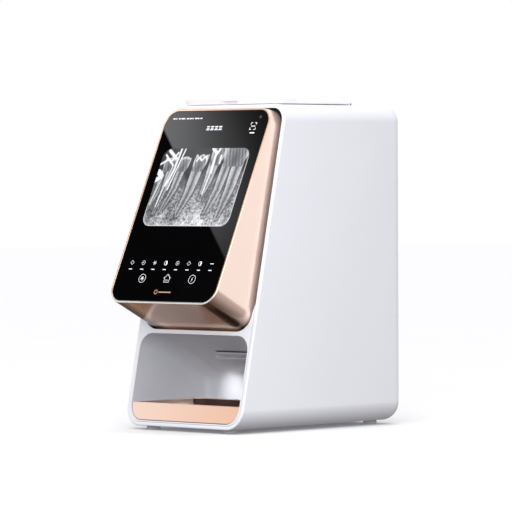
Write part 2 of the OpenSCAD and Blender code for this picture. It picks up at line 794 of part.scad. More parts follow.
module chassis_plate()
    difference() {
        rotate([90, 0, 90]) linear_extrude(plate_t)
            polygon([[leg_y0, base_top], [leg_y1, base_top], [leg_y1, chassis_low + 10],
                     [chassis_rear, chassis_low + 50], [chassis_rear, chassis_high],
                     [chassis_front + 12, chassis_high], [chassis_front, upper_z - 15],
                     [chassis_front, chassis_low], [leg_y0 - 8, chassis_low],
                     [leg_y0, chassis_low - 8]]);
        for (y = [idler_y, drive_y], z = [upper_z, lower_z])
            translate([-1, y, z]) rod(bearing_r, 0, plate_t + 2);
        for (b = bars)
            translate([-1, b[0], b[1]]) rod(screw_r, 0, plate_t + 2);
    }

module chassis_tab()
    block([0, leg_y0 + 8, base_top], [9, leg_y1 - 8, base_top + plate_t]);

module chassis_right() color("#b9bcc0") in_case() {
    translate([plate_x, 0, 0]) difference() {
        chassis_plate();
        translate([-1, motor_y, motor_z]) rod(11, 0, plate_t + 2);
    }
    translate([plate_x + plate_t, 0, 0]) chassis_tab();
}

module chassis_left() color("#b9bcc0") in_case() {
    translate([-plate_x - plate_t, 0, 0]) chassis_plate();
    mirror([1, 0, 0]) translate([plate_x + plate_t, 0, 0]) chassis_tab();
}

module cross_bars() color("#9fa3a8") in_case()
    for (b = bars) translate([0, b[0], b[1]]) {
        rod(bar_r, -plate_x, plate_x);
        rod(screw_r, -plate_x - plate_t - 0.5, plate_x + plate_t + 0.5);
    }

roller_l = path_w - 6;
window_gap = 1.5;

module guide_windows(y)
    translate([0, y, 0]) {
        for (z = [upper_z, lower_z])
            block([-roller_l / 2 - window_gap, -2, z - roller_r - 1],
                  [roller_l / 2 + window_gap, 2, z + roller_r + 1]);
        block([-roller_l / 2, -2, scan_z - 4], [roller_l / 2, 2, scan_z + 4]);
    }

// One guide sheet, with its inner face at y and the other face away from the path
module guide_sheet(y, away)
    across(path_w + 6)
        polygon([[y, guide_top], [y + away, guide_top], [y + away, exit_top],
                 [y + away - exit_shift, exit_z], [y - exit_shift, exit_z], [y, exit_top]]);

module plate_guides() color("#4a4d52") in_case() {
    difference() {
        guide_sheet(path_y - path_t / 2, -guide_t);
        guide_windows(path_y - path_t / 2);
    }
    difference() {
        guide_sheet(path_y + path_t / 2, guide_t);
        guide_windows(path_y + path_t / 2);
    }
    // side walls at the lower end, which hold the flap's pin
    for (side = [-1, 1]) difference() {
        translate([side * (path_w / 2 + flap_ear_t / 2 + 0.2), 0, 0]) across(flap_ear_t)
            polygon([for (p = [[-1, flap_z + 6], [1, flap_z + 6], [1, exit_z], [-1, exit_z]])
                [path_y + p[0] * path_t / 2 - (exit_top - p[1]) * tan(exit_lean), p[1]]]);
        translate([0, flap_y, flap_z]) rod(flap_pin_r + run_gap, -path_w, path_w);
    }
}

belt_x = plate_x + plate_t + 4;

module roller(y, z, out) in_case() translate([0, y, z]) {
    color("#26262a") rod(roller_r, -roller_l / 2, roller_l / 2);
    color("#c3c6ca") rod(shaft_r, -plate_x - plate_t - 2, out);
}

module drive_roller(z) {
    roller(drive_y, z, belt_x + belt_w + 1);
    color("#e6e2d6") in_case() translate([0, drive_y, z]) {
        rod(pulley_r, belt_x, belt_x + belt_w);
        rod(pulley_r + 2, belt_x - 0.8, belt_x - 0.3);
        rod(pulley_r - 3, belt_x - 0.8, belt_x);
    }
}

module idler_roller(z) roller(idler_y, z, plate_x + plate_t + 2);

module drive_roller_upper() drive_roller(upper_z);
module drive_roller_lower() drive_roller(lower_z);
module idler_roller_upper() idler_roller(upper_z);
module idler_roller_lower() idler_roller(lower_z);

module roller_bearings() color("#d9dbde") in_case()
    for (y = [idler_y, drive_y], z = [upper_z, lower_z], side = [-1, 1])
        translate([side * (plate_x + plate_t / 2), y, z]) difference() {
            rod(bearing_r, -plate_t / 2 - 0.8, plate_t / 2 + 0.8);
            rod(shaft_r + run_gap, -plate_t - 1, plate_t + 1);
        }

motor_w = 35;
motor_l = 26;

module feed_motor() color("#55585e") in_case()
    translate([plate_x, motor_y, motor_z]) difference() {
        union() {
            block([-motor_l, -motor_w / 2, -motor_w / 2], [0, motor_w / 2, motor_w / 2]);
            rod(10.8, -1, plate_t);
        }
        rod(shaft_r + run_gap, -motor_l + 3, plate_t + 1);
    }

module motor_pulley() color("#e6e2d6") in_case()
    translate([0, motor_y, motor_z]) {
        rod(shaft_r, plate_x - motor_l + 5, belt_x + belt_w + 1);
        rod(pinion_r, belt_x, belt_x + belt_w);
    }

module belt_outline(grow)
    hull() {
        for (z = [upper_z, lower_z]) translate([drive_y, z]) circle(pulley_r + grow, $fn = 48);
        translate([motor_y, motor_z]) circle(pinion_r + grow, $fn = 48);
    }

module drive_belt() color("#1a1a1a") in_case()
    translate([belt_x + belt_w / 2, 0, 0]) across(belt_w - 0.4) difference() {
        belt_outline(0.3 + belt_t);
        belt_outline(0.3);
    }

/* ---- optics ---- */

bench_z = scan_z - 20;
bench_t = 3;
bench_y0 = drive_y + 11;
bench_y1 = chassis_rear - 3;
bench_top = bench_z + bench_t;
poly_pos = [9, bench_y1 - 13];
poly_z = bench_top + 7;
poly_r = 9;
poly_t = 5;
spindle_r = 1.5;
lens_y = poly_pos[1] - 22;

module optics_bench() color("#a8abb0") in_case()
    block([-plate_x, bench_y0, bench_z], [plate_x, bench_y1, bench_top]);

module laser_module() color("#c0a050") in_case()
    translate([0, poly_pos[1], poly_z + poly_t / 2]) {
        rod(4, -plate_x + 2, -plate_x + 20);
        rod(2.5, -plate_x + 20, -plate_x + 22);
        block([-plate_x + 5, -5, bench_top - poly_z - poly_t / 2], [-plate_x + 17, 5, -2]);
    }

module mirror_motor() color("#6c7076") in_case()
    translate([poly_pos[0], poly_pos[1], bench_top]) {
        cylinder(r = 10, h = poly_z - bench_top - 0.6);
        cylinder(r = spindle_r, h = poly_z + poly_t - bench_top + 1);
    }

module scan_mirror() color("#e8eaee") in_case()
    translate([poly_pos[0], poly_pos[1], poly_z]) difference() {
        rotate(15) cylinder(r = poly_r, h = poly_t, $fn = 6);
        translate([0, 0, -1]) cylinder(r = spindle_r + run_gap, h = poly_t + 2);
    }

module scan_lens() color("#bcd6e6") in_case()
    translate([0, lens_y, bench_top]) {
        linear_extrude(16) intersection() {
            translate([0, 46]) circle(50);
            block_2d([-20, -4], [20, 3]);
        }
        block([-22, -1, 0], [-20, 3, 12]);
        block([20, -1, 0], [22, 3, 12]);
    }

module fold_mirror() color("#dfe3e8") in_case()
    translate([0, bench_y0 + 6, bench_top + 9]) {
        rotate([40, 0, 0]) block([-23, -1, -7], [23, 1, 7]);
        for (side = [-1, 1]) block([side * 21 - 1.5, -2, -9], [side * 21 + 1.5, 2, -6]);
    }

tube_z = scan_z + 11;
tube_r = 9;
tube_y0 = drive_y + 22;

module light_guide() color("#cfe3ea") in_case()
    translate([0, 0, tube_z - 3]) linear_extrude(6)
        polygon([[-roller_l / 2, path_y + path_t / 2 + guide_t + 1],
                 [roller_l / 2, path_y + path_t / 2 + guide_t + 1],
                 [roller_l / 2, path_y + path_t / 2 + guide_t + 5],
                 [7, tube_y0 - 0.2], [-7, tube_y0 - 0.2],
                 [-roller_l / 2, path_y + path_t / 2 + guide_t + 5]]);

module photomultiplier() color("#33363b") in_case()
    translate([0, tube_y0, tube_z]) rotate([-90, 0, 0]) {
        cylinder(r = tube_r, h = 30);
        translate([0, 0, 30]) cylinder(r = tube_r - 1.5, h = 8);
    }

module erase_lamp() color("#f2efe0") in_case()
    translate([0, path_y + path_t / 2 + guide_t + 2, (scan_z + lower_z) / 2]) {
        block([-roller_l / 2, 1, -5], [roller_l / 2, 2.6, 5]);
        for (i = [-3:3]) block([i * 5.4 - 1.4, 0, -1.4], [i * 5.4 + 1.4, 1, 1.4]);
    }

/* ---- boards ---- */

main_x = -plate_x - plate_t - 6.5;
main_y0 = path_y - 6;
main_y1 = chassis_rear - 4;
main_z0 = chassis_low + 14;
main_z1 = chassis_high - 12;
supply_x = plate_x + plate_t + 10.5;
supply_y0 = leg_y0 + 6;
supply_y1 = leg_y1 - 6;
supply_z0 = floor_z + 12;
supply_z1 = floor_z + 76;
spacer_inset = 5;
main_spacers = [[main_y0 + spacer_inset, main_z0 + spacer_inset],
                [main_y0 + spacer_inset, main_z1 - spacer_inset],
                [main_y1 - spacer_inset, main_z0 + spacer_inset],
                [main_y1 - spacer_inset - 6, main_z1 - spacer_inset]];
supply_spacers = [[supply_y0 + spacer_inset, supply_z0 + spacer_inset + 12],
                  [supply_y1 - spacer_inset, supply_z0 + spacer_inset + 12],
                  [supply_y0 + spacer_inset, supply_z1 - spacer_inset],
                  [supply_y1 - spacer_inset, supply_z1 - spacer_inset]];

module main_board() color("#1f6b3a") in_case() {
    difference() {
        block([main_x - board_t, main_y0, main_z0], [main_x, main_y1, main_z1]);
        for (p = main_spacers) translate([0, p[0], p[1]])
            rod(screw_r, main_x - board_t - 1, main_x + 1);
    }
    block([main_x - board_t - 5, main_y0 + 30, main_z0 + 40], [main_x - board_t, main_y0 + 58, main_z0 + 68]);
    block([ribbon_x, main_y0 + 2, ribbon_z - 3], [main_x - board_t, main_y0 + 8, ribbon_z + 4]);
    for (i = [0:3])
        block([main_x - board_t - 2, main_y0 + 12 + i * 13, main_z0 + 14],
              [main_x - board_t, main_y0 + 21 + i * 13, main_z0 + 28]);
}

module power_supply_board() color("#2a7a4a") in_case() {
    difference() {
        block([supply_x, supply_y0, supply_z0], [supply_x + board_t, supply_y1, supply_z1]);
        for (p = supply_spacers) translate([0, p[0], p[1]])
            rod(screw_r, supply_x - 1, supply_x + board_t + 1);
    }
    face = supply_x + board_t;
    block([face, supply_y0 + 20, supply_z0 + 26], [face + 16, supply_y0 + 42, supply_z0 + 46]);
    for (i = [0:1]) translate([0, supply_y1 - 12, supply_z0 + 28 + i * 16]) rod(6, face, face + 14);
    block([face, supply_y0 + 12, supply_z0 + 4], [face + 9, supply_y1 - 12, supply_z0 + 10]);
}

module board_spacers() color("#d0b060") in_case() {
    for (p = main_spacers) translate([0, p[0], p[1]]) {
        rod(2.6, main_x, -plate_x - plate_t);
        rod(screw_r, main_x - board_t - 0.6, main_x);
    }
    for (p = supply_spacers) translate([0, p[0], p[1]]) {
        rod(2.6, plate_x + plate_t, supply_x);
        rod(screw_r, supply_x, supply_x + board_t + 0.6);
    }
}

module plate_sensors() color("#303338") in_case()
    for (z = [guide_top - 16, lower_z - 14])
        translate([path_w / 2 - 8, path_y + path_t / 2 + guide_t, z])
            block([-5, 0, -4], [5, 5, 4]);

outer_shell();
front_frame();
niche_liner();
exit_guide();
exit_flap();
collecting_tray();
tray_pad();
display_housing();
display_gasket();
touch_glass();
lcd_panel();
display_board();
display_bracket();
display_screws();
display_ribbon();
inlet_lid();
lid_pin();
lid_magnet();
lid_sensor();
inlet_funnel();
rear_cover();
rear_screws();
mains_inlet();
inlet_pins();
network_socket();
usb_socket();
switch_body();
power_rocker();
power_supply_board();
base_plate();
base_screws();
rubber_feet();
chassis_left();
chassis_right();
cross_bars();
plate_guides();
drive_roller_upper();
drive_roller_lower();
idler_roller_upper();
idler_roller_lower();
roller_bearings();
feed_motor();
motor_pulley();
drive_belt();
optics_bench();
laser_module();
mirror_motor();
scan_mirror();
scan_lens();
fold_mirror();
light_guide();
photomultiplier();
erase_lamp();
main_board();
board_spacers();
plate_sensors();
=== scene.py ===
"""Looks for the desktop imaging-plate scanner: camera, studio, materials and finished meshes."""
import json
import math

import bmesh
import bpy
import numpy as np
from mathutils import Matrix, Vector


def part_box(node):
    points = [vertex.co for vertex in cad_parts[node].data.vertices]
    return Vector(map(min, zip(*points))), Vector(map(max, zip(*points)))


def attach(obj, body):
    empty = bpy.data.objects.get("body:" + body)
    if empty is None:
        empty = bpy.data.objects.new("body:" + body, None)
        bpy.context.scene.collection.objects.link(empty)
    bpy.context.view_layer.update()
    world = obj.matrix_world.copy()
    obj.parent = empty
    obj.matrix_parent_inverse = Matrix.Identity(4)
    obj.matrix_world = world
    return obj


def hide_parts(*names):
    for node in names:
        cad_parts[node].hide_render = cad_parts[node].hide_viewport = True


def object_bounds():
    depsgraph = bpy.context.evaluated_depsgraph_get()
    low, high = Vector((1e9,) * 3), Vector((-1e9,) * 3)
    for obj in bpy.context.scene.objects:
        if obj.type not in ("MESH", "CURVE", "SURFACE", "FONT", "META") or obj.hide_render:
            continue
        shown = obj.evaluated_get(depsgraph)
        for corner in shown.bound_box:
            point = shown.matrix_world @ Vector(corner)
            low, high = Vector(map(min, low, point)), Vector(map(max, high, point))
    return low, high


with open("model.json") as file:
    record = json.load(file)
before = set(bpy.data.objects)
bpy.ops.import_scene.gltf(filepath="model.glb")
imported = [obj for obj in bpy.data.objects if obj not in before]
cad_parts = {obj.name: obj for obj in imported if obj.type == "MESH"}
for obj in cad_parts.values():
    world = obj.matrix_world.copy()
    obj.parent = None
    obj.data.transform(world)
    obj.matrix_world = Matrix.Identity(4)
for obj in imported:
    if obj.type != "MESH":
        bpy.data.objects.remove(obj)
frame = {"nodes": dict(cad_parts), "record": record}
cad_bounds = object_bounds()

MM = 0.001
scene = bpy.context.scene

# ---------------------------------------------------------------- driving sizes, in millimetres
# The case frame: x across, y back from the foot line of the leaning front, z up from the table.
LEAN = math.radians(12.0)
GLASS_LEAN = math.radians(24.4)
WALL, CASING_GAP = 3.4, 0.3
TOP_R, LOW_R, REAR_R = 15.0, 17.0, 12.0
NICHE_R = 13.5
LINER_T = 1.0
RIM_W = 2.0
GLASS_R = 13.0
FRAME_RECESS = 4.0
FUNNEL_SINK, SEAT_DROP = 0.2, 4.2
KNUCKLE_R = 1.8
OUTLINE_STEPS = 14


def node_box(node):
    """Corners of a CAD node in millimetres of the row frame."""
    low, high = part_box(node)
    return low / MM, high / MM


shell_low, shell_high = node_box("outer_shell")
FOOT_H = shell_low.z
FOOT_LINE = shell_low.y - FOOT_H * math.tan(LEAN)
CASE_W = shell_high.x - shell_low.x
CASE_D = shell_high.y - FOOT_LINE
REACH = -(cad_bounds[0].y / MM - FOOT_LINE)
glass_low, glass_high = node_box("touch_glass")
lid_low, lid_high = node_box("inlet_lid")
pin_low, pin_high = node_box("lid_pin")
tray_low, tray_high = node_box("collecting_tray")
funnel_low, funnel_high = node_box("inlet_funnel")
CASE_H = funnel_high.z + FUNNEL_SINK
GLASS_W = glass_high.x - glass_low.x
GLASS_L = 178.6
GLASS_REACH = REACH - RIM_W * math.sin(GLASS_LEAN)
GLASS_LOW = 112.3
SEAT_LOW, SEAT_HIGH, SEAT_W = 87.0, CASE_H - SEAT_DROP, 126.0
NICHE_TOP, NICHE_FLOOR, NICHE_W, NICHE_BACK = 83.0, 8.2, 130.0, 98.8


def front_y(z):
    return z * math.tan(LEAN)


def case_y(v):
    """A row y in the case frame."""
    return v - FOOT_LINE


def place(x, y, z):
    """A point of the case frame, in metres of the row frame."""
    return Vector((x, y + FOOT_LINE, z)) * MM


def on_front(x, s, n):
    """A point at slope distance s on the leaning front, n out of it."""
    return place(x, s * math.sin(LEAN) - n * math.cos(LEAN), s * math.cos(LEAN) + n * math.sin(LEAN))


def on_glass(x, s, n):
    """A point at slope distance s up the touch glass, n out of it."""
    return place(x, -GLASS_REACH + s * math.sin(GLASS_LEAN) - n * math.cos(GLASS_LEAN),
                 GLASS_LOW + s * math.cos(GLASS_LEAN) + n * math.sin(GLASS_LEAN))


FRONT_NORMAL = Vector((0, -math.cos(LEAN), math.sin(LEAN)))
GLASS_NORMAL = Vector((0, -math.cos(GLASS_LEAN), math.sin(GLASS_LEAN)))
HINGE_Y, HINGE_Z = case_y((pin_low.y + pin_high.y) / 2), (pin_low.z + pin_high.z) / 2


# ---------------------------------------------------------------- camera
VIEW_AZIMUTH, VIEW_ELEVATION, VIEW_ROLL = map(math.radians, (44.0, 1.15, -0.24))
VIEW_DISTANCE = 3.4593
VIEW_LENS, SENSOR_WIDTH = 279.6, 36.0
AIM_Y, AIM_HEIGHT = -0.00124, 0.140
AIM_RIGHT, AIM_UP = 0.0023, 0.0089


def make_camera():
    a, e = VIEW_AZIMUTH, VIEW_ELEVATION
    back = Vector((math.sin(a) * math.cos(e), -math.cos(a) * math.cos(e), math.sin(e)))
    right = Vector((math.cos(a), math.sin(a), 0.0))
    up = back.cross(right)
    turn_right = math.cos(VIEW_ROLL) * right + math.sin(VIEW_ROLL) * up
    turn_up = math.cos(VIEW_ROLL) * up - math.sin(VIEW_ROLL) * right
    data = bpy.data.cameras.new("camera")
    data.lens = VIEW_LENS
    data.sensor_width = SENSOR_WIDTH
    data.clip_end = 50.0
    camera = bpy.data.objects.new("camera", data)
    scene.collection.objects.link(camera)
    aim = Vector((0, AIM_Y, AIM_HEIGHT)) + AIM_RIGHT * turn_right + AIM_UP * turn_up
    axes = Matrix((turn_right, turn_up, back)).transposed().to_4x4()
    camera.matrix_world = Matrix.Translation(aim + back * VIEW_DISTANCE) @ axes
    scene.camera = camera
    return camera


camera = make_camera()

# ---------------------------------------------------------------- materials


class Tree:
    """Short calls for building one node tree."""

    def __init__(self, tree):
        self.nodes, self.links = tree.nodes, tree.links

    def add(self, kind, **values):
        node = self.nodes.new(kind)
        for key, value in values.items():
            if hasattr(node, key):
                setattr(node, key, value)
            else:
                node.inputs[key.replace("_", " ")].default_value = value
        return node

    def link(self, a, b):
        self.links.new(a, b)

    def ramp(self, value, stops):
        node = self.add("ShaderNodeValToRGB")
        elements = node.color_ramp.elements
        while len(elements) < len(stops):
            elements.new(0.5)
        for element, (position, color) in zip(elements, stops):
            element.position = position
            element.color = (*color, 1.0)
        self.link(value, node.inputs["Fac"])
        return node.outputs["Color"]

    def spread(self, value, low, high):
        """Takes 0 to 1 over to low to high."""
        node = self.add("ShaderNodeMapRange", To_Min=low, To_Max=high)
        self.link(value, node.inputs["Value"])
        return node.outputs["Result"]

    def fraction(self, value, start, end):
        """Takes start to end over to 0 to 1."""
        node = self.add("ShaderNodeMapRange", From_Min=start, From_Max=end)
        self.link(value, node.inputs["Value"])
        return node.outputs["Result"]

    def split(self, vector):
        node = self.add("ShaderNodeSeparateXYZ")
        self.link(vector, node.inputs[0])
        return node.outputs

    def mix(self, factor, a, b):
        """A blend of two colours."""
        node = self.add("ShaderNodeMix", data_type="RGBA")
        for source, socket in ((factor, 0), (a, 6), (b, 7)):
            self.link(source, node.inputs[socket])
        return node.outputs[2]

    def calc(self, operation, a, b, **values):
        node = self.add("ShaderNodeMath", operation=operation, **values)
        self.link(a, node.inputs[0])
        self.link(b, node.inputs[1])
        return node.outputs[0]


class Nodes(Tree):
    """A material's node tree round its Principled shader."""

    def __init__(self, name):
        self.material = bpy.data.materials.new(name)
        self.material.use_nodes = True
        super().__init__(self.material.node_tree)
        self.shader = self.nodes["Principled BSDF"]

    def set(self, **values):
        for key, value in values.items():
            self.shader.inputs[key.replace("_", " ")].default_value = value

    def coords(self, kind="Object"):
        return self.add("ShaderNodeTexCoord").outputs[kind]

    def noise(self, scale, detail=3.0, roughness=0.55, vector=None):
        node = self.add("ShaderNodeTexNoise", Scale=scale, Detail=detail, Roughness=roughness)
        self.link(vector or self.coords(), node.inputs["Vector"])
        return node.outputs["Fac"]

    def cells(self, output, scale, **values):
        node = self.add("ShaderNodeTexVoronoi", Scale=scale, **values)
        self.link(self.coords(), node.inputs["Vector"])
        return node.outputs[output]

    def color(self, value, *sockets):
        for socket in sockets or ("Base Color",):
            self.link(value, self.shader.inputs[socket])

    def rough(self, value, low, high):
        self.link(self.spread(value, low, high), self.shader.inputs["Roughness"])

    def bump(self, height, strength, distance):
        node = self.add("ShaderNodeBump", Strength=strength, Distance=distance)
        self.link(height, node.inputs["Height"])
        self.link(node.outputs["Normal"], self.shader.inputs["Normal"])


def shade(color, factor):
    return tuple(min(1.0, c * factor) for c in color)


def moulded(name, color, roughness, grain=900.0, depth=0.00002, coat=0.0, tint=0.03, specular=0.5):
    """Moulded plastic: fine grain in the surface and a slight drift of tone and gloss."""
    m = Nodes(name)
    m.color(m.ramp(m.noise(14.0, 2.0), [(0.3, shade(color, 1 - tint)), (0.7, shade(color, 1 + tint))]))
    m.rough(m.noise(60.0), roughness * 0.88, roughness * 1.12)
    m.bump(m.noise(grain, 2.0), 0.25, depth)
    if coat:
        m.set(Coat_Weight=coat, Coat_Roughness=0.12)
    m.set(Specular_IOR_Level=specular)
    return m.material


def metal(name, color, roughness, brushed=None):
    """Metal, with brushing along one axis where it is given."""
    m = Nodes(name)
    m.set(Metallic=1.0)
    stretch = m.add("ShaderNodeMapping")
    m.link(m.coords(), stretch.inputs["Vector"])
    if brushed is not None:
        stretch.inputs["Scale"].default_value = [1.0 if axis == brushed else 40.0 for axis in range(3)]
    grain = m.noise(120.0 if brushed is None else 60.0, 4.0, 0.6, stretch.outputs["Vector"])
    m.color(m.ramp(grain, [(0.25, shade(color, 0.94)), (0.75, shade(color, 1.05))]))
    m.rough(grain, roughness * 0.8, roughness * 1.25)
    m.bump(grain, 0.15, 0.000008)
    return m.material


def flaked(name, metallic, coat, low, high):
    """Metallic paint under a clear coat, still without its colour, and the scatter of its flakes."""
    m = Nodes(name)
    m.set(Metallic=metallic, Coat_Weight=coat, Coat_Roughness=0.05, Coat_IOR=1.5)
    m.rough(m.noise(40.0), low, high)
    m.bump(m.noise(700.0, 2.0), 0.06, 0.000015)
    return m, m.cells("Color", 4200.0)


def rose_metal(name, color, roughness, coat, fade=None):
    """Rose-gold paint; fade is (axis, start, end, the tone it runs to), a second tone blended in by
    position as painted reflection and highlight.
    """
    m, flakes = flaked(name, 0.92, coat, roughness * 0.9, roughness * 1.15)

    def tone(of):
        return m.ramp(flakes, [(0.1, shade(of, 0.96)), (0.9, shade(of, 1.04))])

    paint = tone(color)
    # painted reflection: the colour runs by position to a second tone that stands in for reflected light
    if fade:
        axis, start, end, painted_reflection_tone = fade
        paint = m.mix(m.fraction(m.split(m.coords())[axis], start, end), paint, tone(painted_reflection_tone))
    m.color(paint)
    return m.material


def rose_housing_painted_reflection():
    """The display housing's paint, with painted reflection: pale sides stand in for the bright surroundings
    they reflect, and a sweep from dark to copper and back across the underside stands in for its
    reflections.
    """
    m, flakes = flaked("rose_gold", 0.65, 0.6, 0.20, 0.27)
    # painted reflection: the pale tone of the flanks stands in for reflected light
    side = m.ramp(flakes, [(0.1, (0.965, 0.765, 0.665)), (0.9, (0.99, 0.79, 0.69))])
    # painted reflection: dark ends and copper streaks across the underside, set by position
    underside_painted_reflection = m.ramp(m.fraction(m.split(m.coords())["X"], -0.064, 0.064), [
        (0.0, (0.025, 0.013, 0.008)), (0.13, (0.05, 0.025, 0.015)), (0.22, (0.88, 0.56, 0.38)),
        (0.34, (0.64, 0.36, 0.22)), (0.62, (0.50, 0.26, 0.145)), (0.84, (0.72, 0.42, 0.26)),
        (0.93, (0.06, 0.03, 0.02)), (1.0, (0.30, 0.16, 0.10))])
    # faces turned downward, which take the painted underside reflection
    painted_reflection_mask = m.fraction(m.split(m.coords("Normal"))["Z"], -0.30, -0.75)
    m.color(m.mix(painted_reflection_mask, side, underside_painted_reflection))
    return m.material


def glowing(name, color, strength):
    """A lit area of the screen, with the fine raster of its pixels."""
    m = Nodes(name)
    lit = m.ramp(m.cells("Distance", 5200.0), [(0.0, color), (1.0, shade(color, 0.82))])
    m.color(lit, "Emission Color", "Base Color")
    m.set(Emission_Strength=strength, Roughness=0.2)
    return m.material


def glass_black():
    """Black touch glass: a dark printed layer under a polished surface with faint wipe marks."""
    m = Nodes("touch_glass")
    smear = m.noise(9.0, 5.0, 0.65)
    m.color(m.ramp(smear, [(0.2, (0.0012, 0.0012, 0.0014)), (0.8, (0.003, 0.003, 0.0034))]))
    m.rough(smear, 0.002, 0.014)
    m.set(Specular_IOR_Level=0.5, IOR=1.5)
    return m.material


def optic(name, tint):
    """Clear glass or plastic with a trace of haze."""
    m = Nodes(name)
    m.set(Transmission_Weight=0.9, IOR=1.49)
    haze = m.noise(25.0)
    m.color(m.ramp(haze, [(0.3, shade(tint, 0.97)), (0.7, tint)]))
    m.rough(haze, 0.02, 0.06)
    return m.material


def circuit(name, color):
    """Solder mask with the faint relief of copper tracks under it."""
    m = Nodes(name)
    tones = {"Color1": color, "Color2": shade(color, 0.85), "Mortar": shade(color, 1.7)}
    tracks = m.add("ShaderNodeTexBrick", Scale=260.0, Mortar_Size=0.03,
                   **{key: (*tone, 1) for key, tone in tones.items()})
    m.link(m.coords(), tracks.inputs["Vector"])
    m.color(tracks.outputs["Color"])
    m.rough(m.noise(200.0), 0.25, 0.4)
    m.bump(tracks.outputs["Fac"], 0.3, 0.00003)
    return m.material


def radiograph_film():
    """The x-ray picture on the screen: drawn tones in red, and how grainy the bone is in green."""
    m = Nodes("radiograph")
    parts = m.add("ShaderNodeSeparateColor")
    m.link(m.add("ShaderNodeAttribute", attribute_name="tone").outputs["Color"], parts.inputs["Color"])
    web = m.cells("Distance", 300.0, feature="DISTANCE_TO_EDGE", Randomness=1.0)
    bone = m.calc("ADD", m.spread(m.noise(430.0, 4.0, 0.68), -0.9, 0.9), m.spread(web, 0.75, -0.35))
    grain = m.calc("MULTIPLY", bone, parts.outputs["Green"])
    total = m.calc("ADD", grain, parts.outputs["Red"], use_clamp=True)
    m.color(m.ramp(total, [(0.0, (0.003, 0.003, 0.004)), (0.5, (0.16, 0.165, 0.18)),
                           (1.0, (0.95, 0.96, 0.99))]), "Emission Color")
    m.set(Base_Color=(0.01, 0.01, 0.01, 1), Emission_Strength=1.0, Roughness=0.15)
    return m.material


MATERIALS = {
    "case_white": moulded("case_white", (0.86, 0.865, 0.90), 0.34, coat=0.25, depth=0.000012, tint=0.008),
    "lid_white": moulded("lid_white", (0.88, 0.88, 0.90), 0.36, coat=0.2, depth=0.000012, tint=0.008),
    "liner_grey": moulded("liner_grey", (0.68, 0.70, 0.745), 0.34, depth=0.000015, tint=0.01),
    "rose_gold": rose_housing_painted_reflection(),
    # painted highlight: the rim fades to cream towards its lower edge, below 113 mm
    "rose_rim": rose_metal("rose_rim", (0.95, 0.64, 0.46), 0.16, 0.8,
                           ("Z", 0.124, 0.113, (1.0, 0.95, 0.90))),
    # painted reflection: the tray's gold darkens from left to right across its width
    "tray_gold": rose_metal("tray_gold", (0.92, 0.69, 0.575), 0.30, 0.5,
                            ("X", -0.060, 0.060, (0.87, 0.54, 0.39))),
    "screen_glass": glass_black(),
    "black_plastic": moulded("black_plastic", (0.010, 0.010, 0.011), 0.6, grain=1400.0, specular=0.12),
    "guide_trim": moulded("guide_trim", (0.70, 0.70, 0.73), 0.4),
    "soft_pad": moulded("soft_pad", (0.045, 0.018, 0.010), 0.75, grain=2600.0, depth=0.00006),
    "foot_rubber": moulded("foot_rubber", (0.50, 0.50, 0.52), 0.8, grain=1800.0, depth=0.00004),
    "roller_rubber": moulded("roller_rubber", (0.02, 0.02, 0.022), 0.7, grain=1800.0, depth=0.00003),
    "screw_steel": metal("screw_steel", (0.55, 0.56, 0.58), 0.25),
    "sheet_steel": metal("sheet_steel", (0.62, 0.63, 0.65), 0.35, brushed=1),
    "bearing_steel": metal("bearing_steel", (0.72, 0.73, 0.75), 0.15),
    "machined_aluminium": metal("machined_aluminium", (0.66, 0.67, 0.69), 0.3, brushed=0),
    "contact_brass": metal("contact_brass", (0.80, 0.62, 0.30), 0.22),
    "board_green": circuit("board_green", (0.012, 0.10, 0.045)),
    "optics_glass": optic("optics_glass", (0.85, 0.93, 0.97)),
    "mirror_coat": metal("mirror_coat", (0.93, 0.94, 0.96), 0.03),
    "flex_film": moulded("flex_film", (0.50, 0.22, 0.05), 0.35),
    "pulley_plastic": moulded("pulley_plastic", (0.78, 0.75, 0.66), 0.45),
    "lamp_white": moulded("lamp_white", (0.86, 0.84, 0.74), 0.4),
    "screen_white": glowing("screen_white", (0.80, 0.82, 0.86), 0.75),
    "screen_mark": rose_metal("screen_mark", (0.93, 0.55, 0.36), 0.3, 0.2),
    "radiograph": radiograph_film(),
}

# ---------------------------------------------------------------- mesh helpers
MERGE = 0.0000006
BOX_FACES = [(0, 1, 3, 2), (4, 6, 7, 5), (0, 4, 5, 1), (2, 3, 7, 6), (0, 2, 6, 4), (1, 5, 7, 3)]


def add_object(name, mesh):
    obj = bpy.data.objects.new(name, mesh)
    scene.collection.objects.link(obj)
    return obj


def edited(mesh, change):
    """Runs a change on a mesh's bmesh and writes it back."""
    bm = bmesh.new()
    bm.from_mesh(mesh)
    change(bm)
    bm.to_mesh(mesh)
    bm.free()


def new_object(name, verts, faces, material):
    mesh = bpy.data.meshes.new(name)
    mesh.from_pydata([tuple(v) for v in verts], [], faces)
    mesh.validate()
    mesh.materials.append(MATERIALS[material])
    obj = add_object(name, mesh)
    tidy(obj)
    return obj


def tidy(obj):
    """Joins doubled points and turns the faces outward."""
    def change(bm):
        bmesh.ops.remove_doubles(bm, verts=bm.verts, dist=MERGE)
        bmesh.ops.dissolve_degenerate(bm, edges=bm.edges, dist=MERGE)
        bmesh.ops.recalc_face_normals(bm, faces=bm.faces)

    edited(obj.data, change)


def bake(obj):
    """Replaces an object's mesh by what its modifiers make of it."""
    graph = bpy.context.evaluated_depsgraph_get()
    mesh = bpy.data.meshes.new_from_object(obj.evaluated_get(graph), preserve_all_data_layers=True,
                                           depsgraph=graph)
    obj.modifiers.clear()
    obj.data = mesh


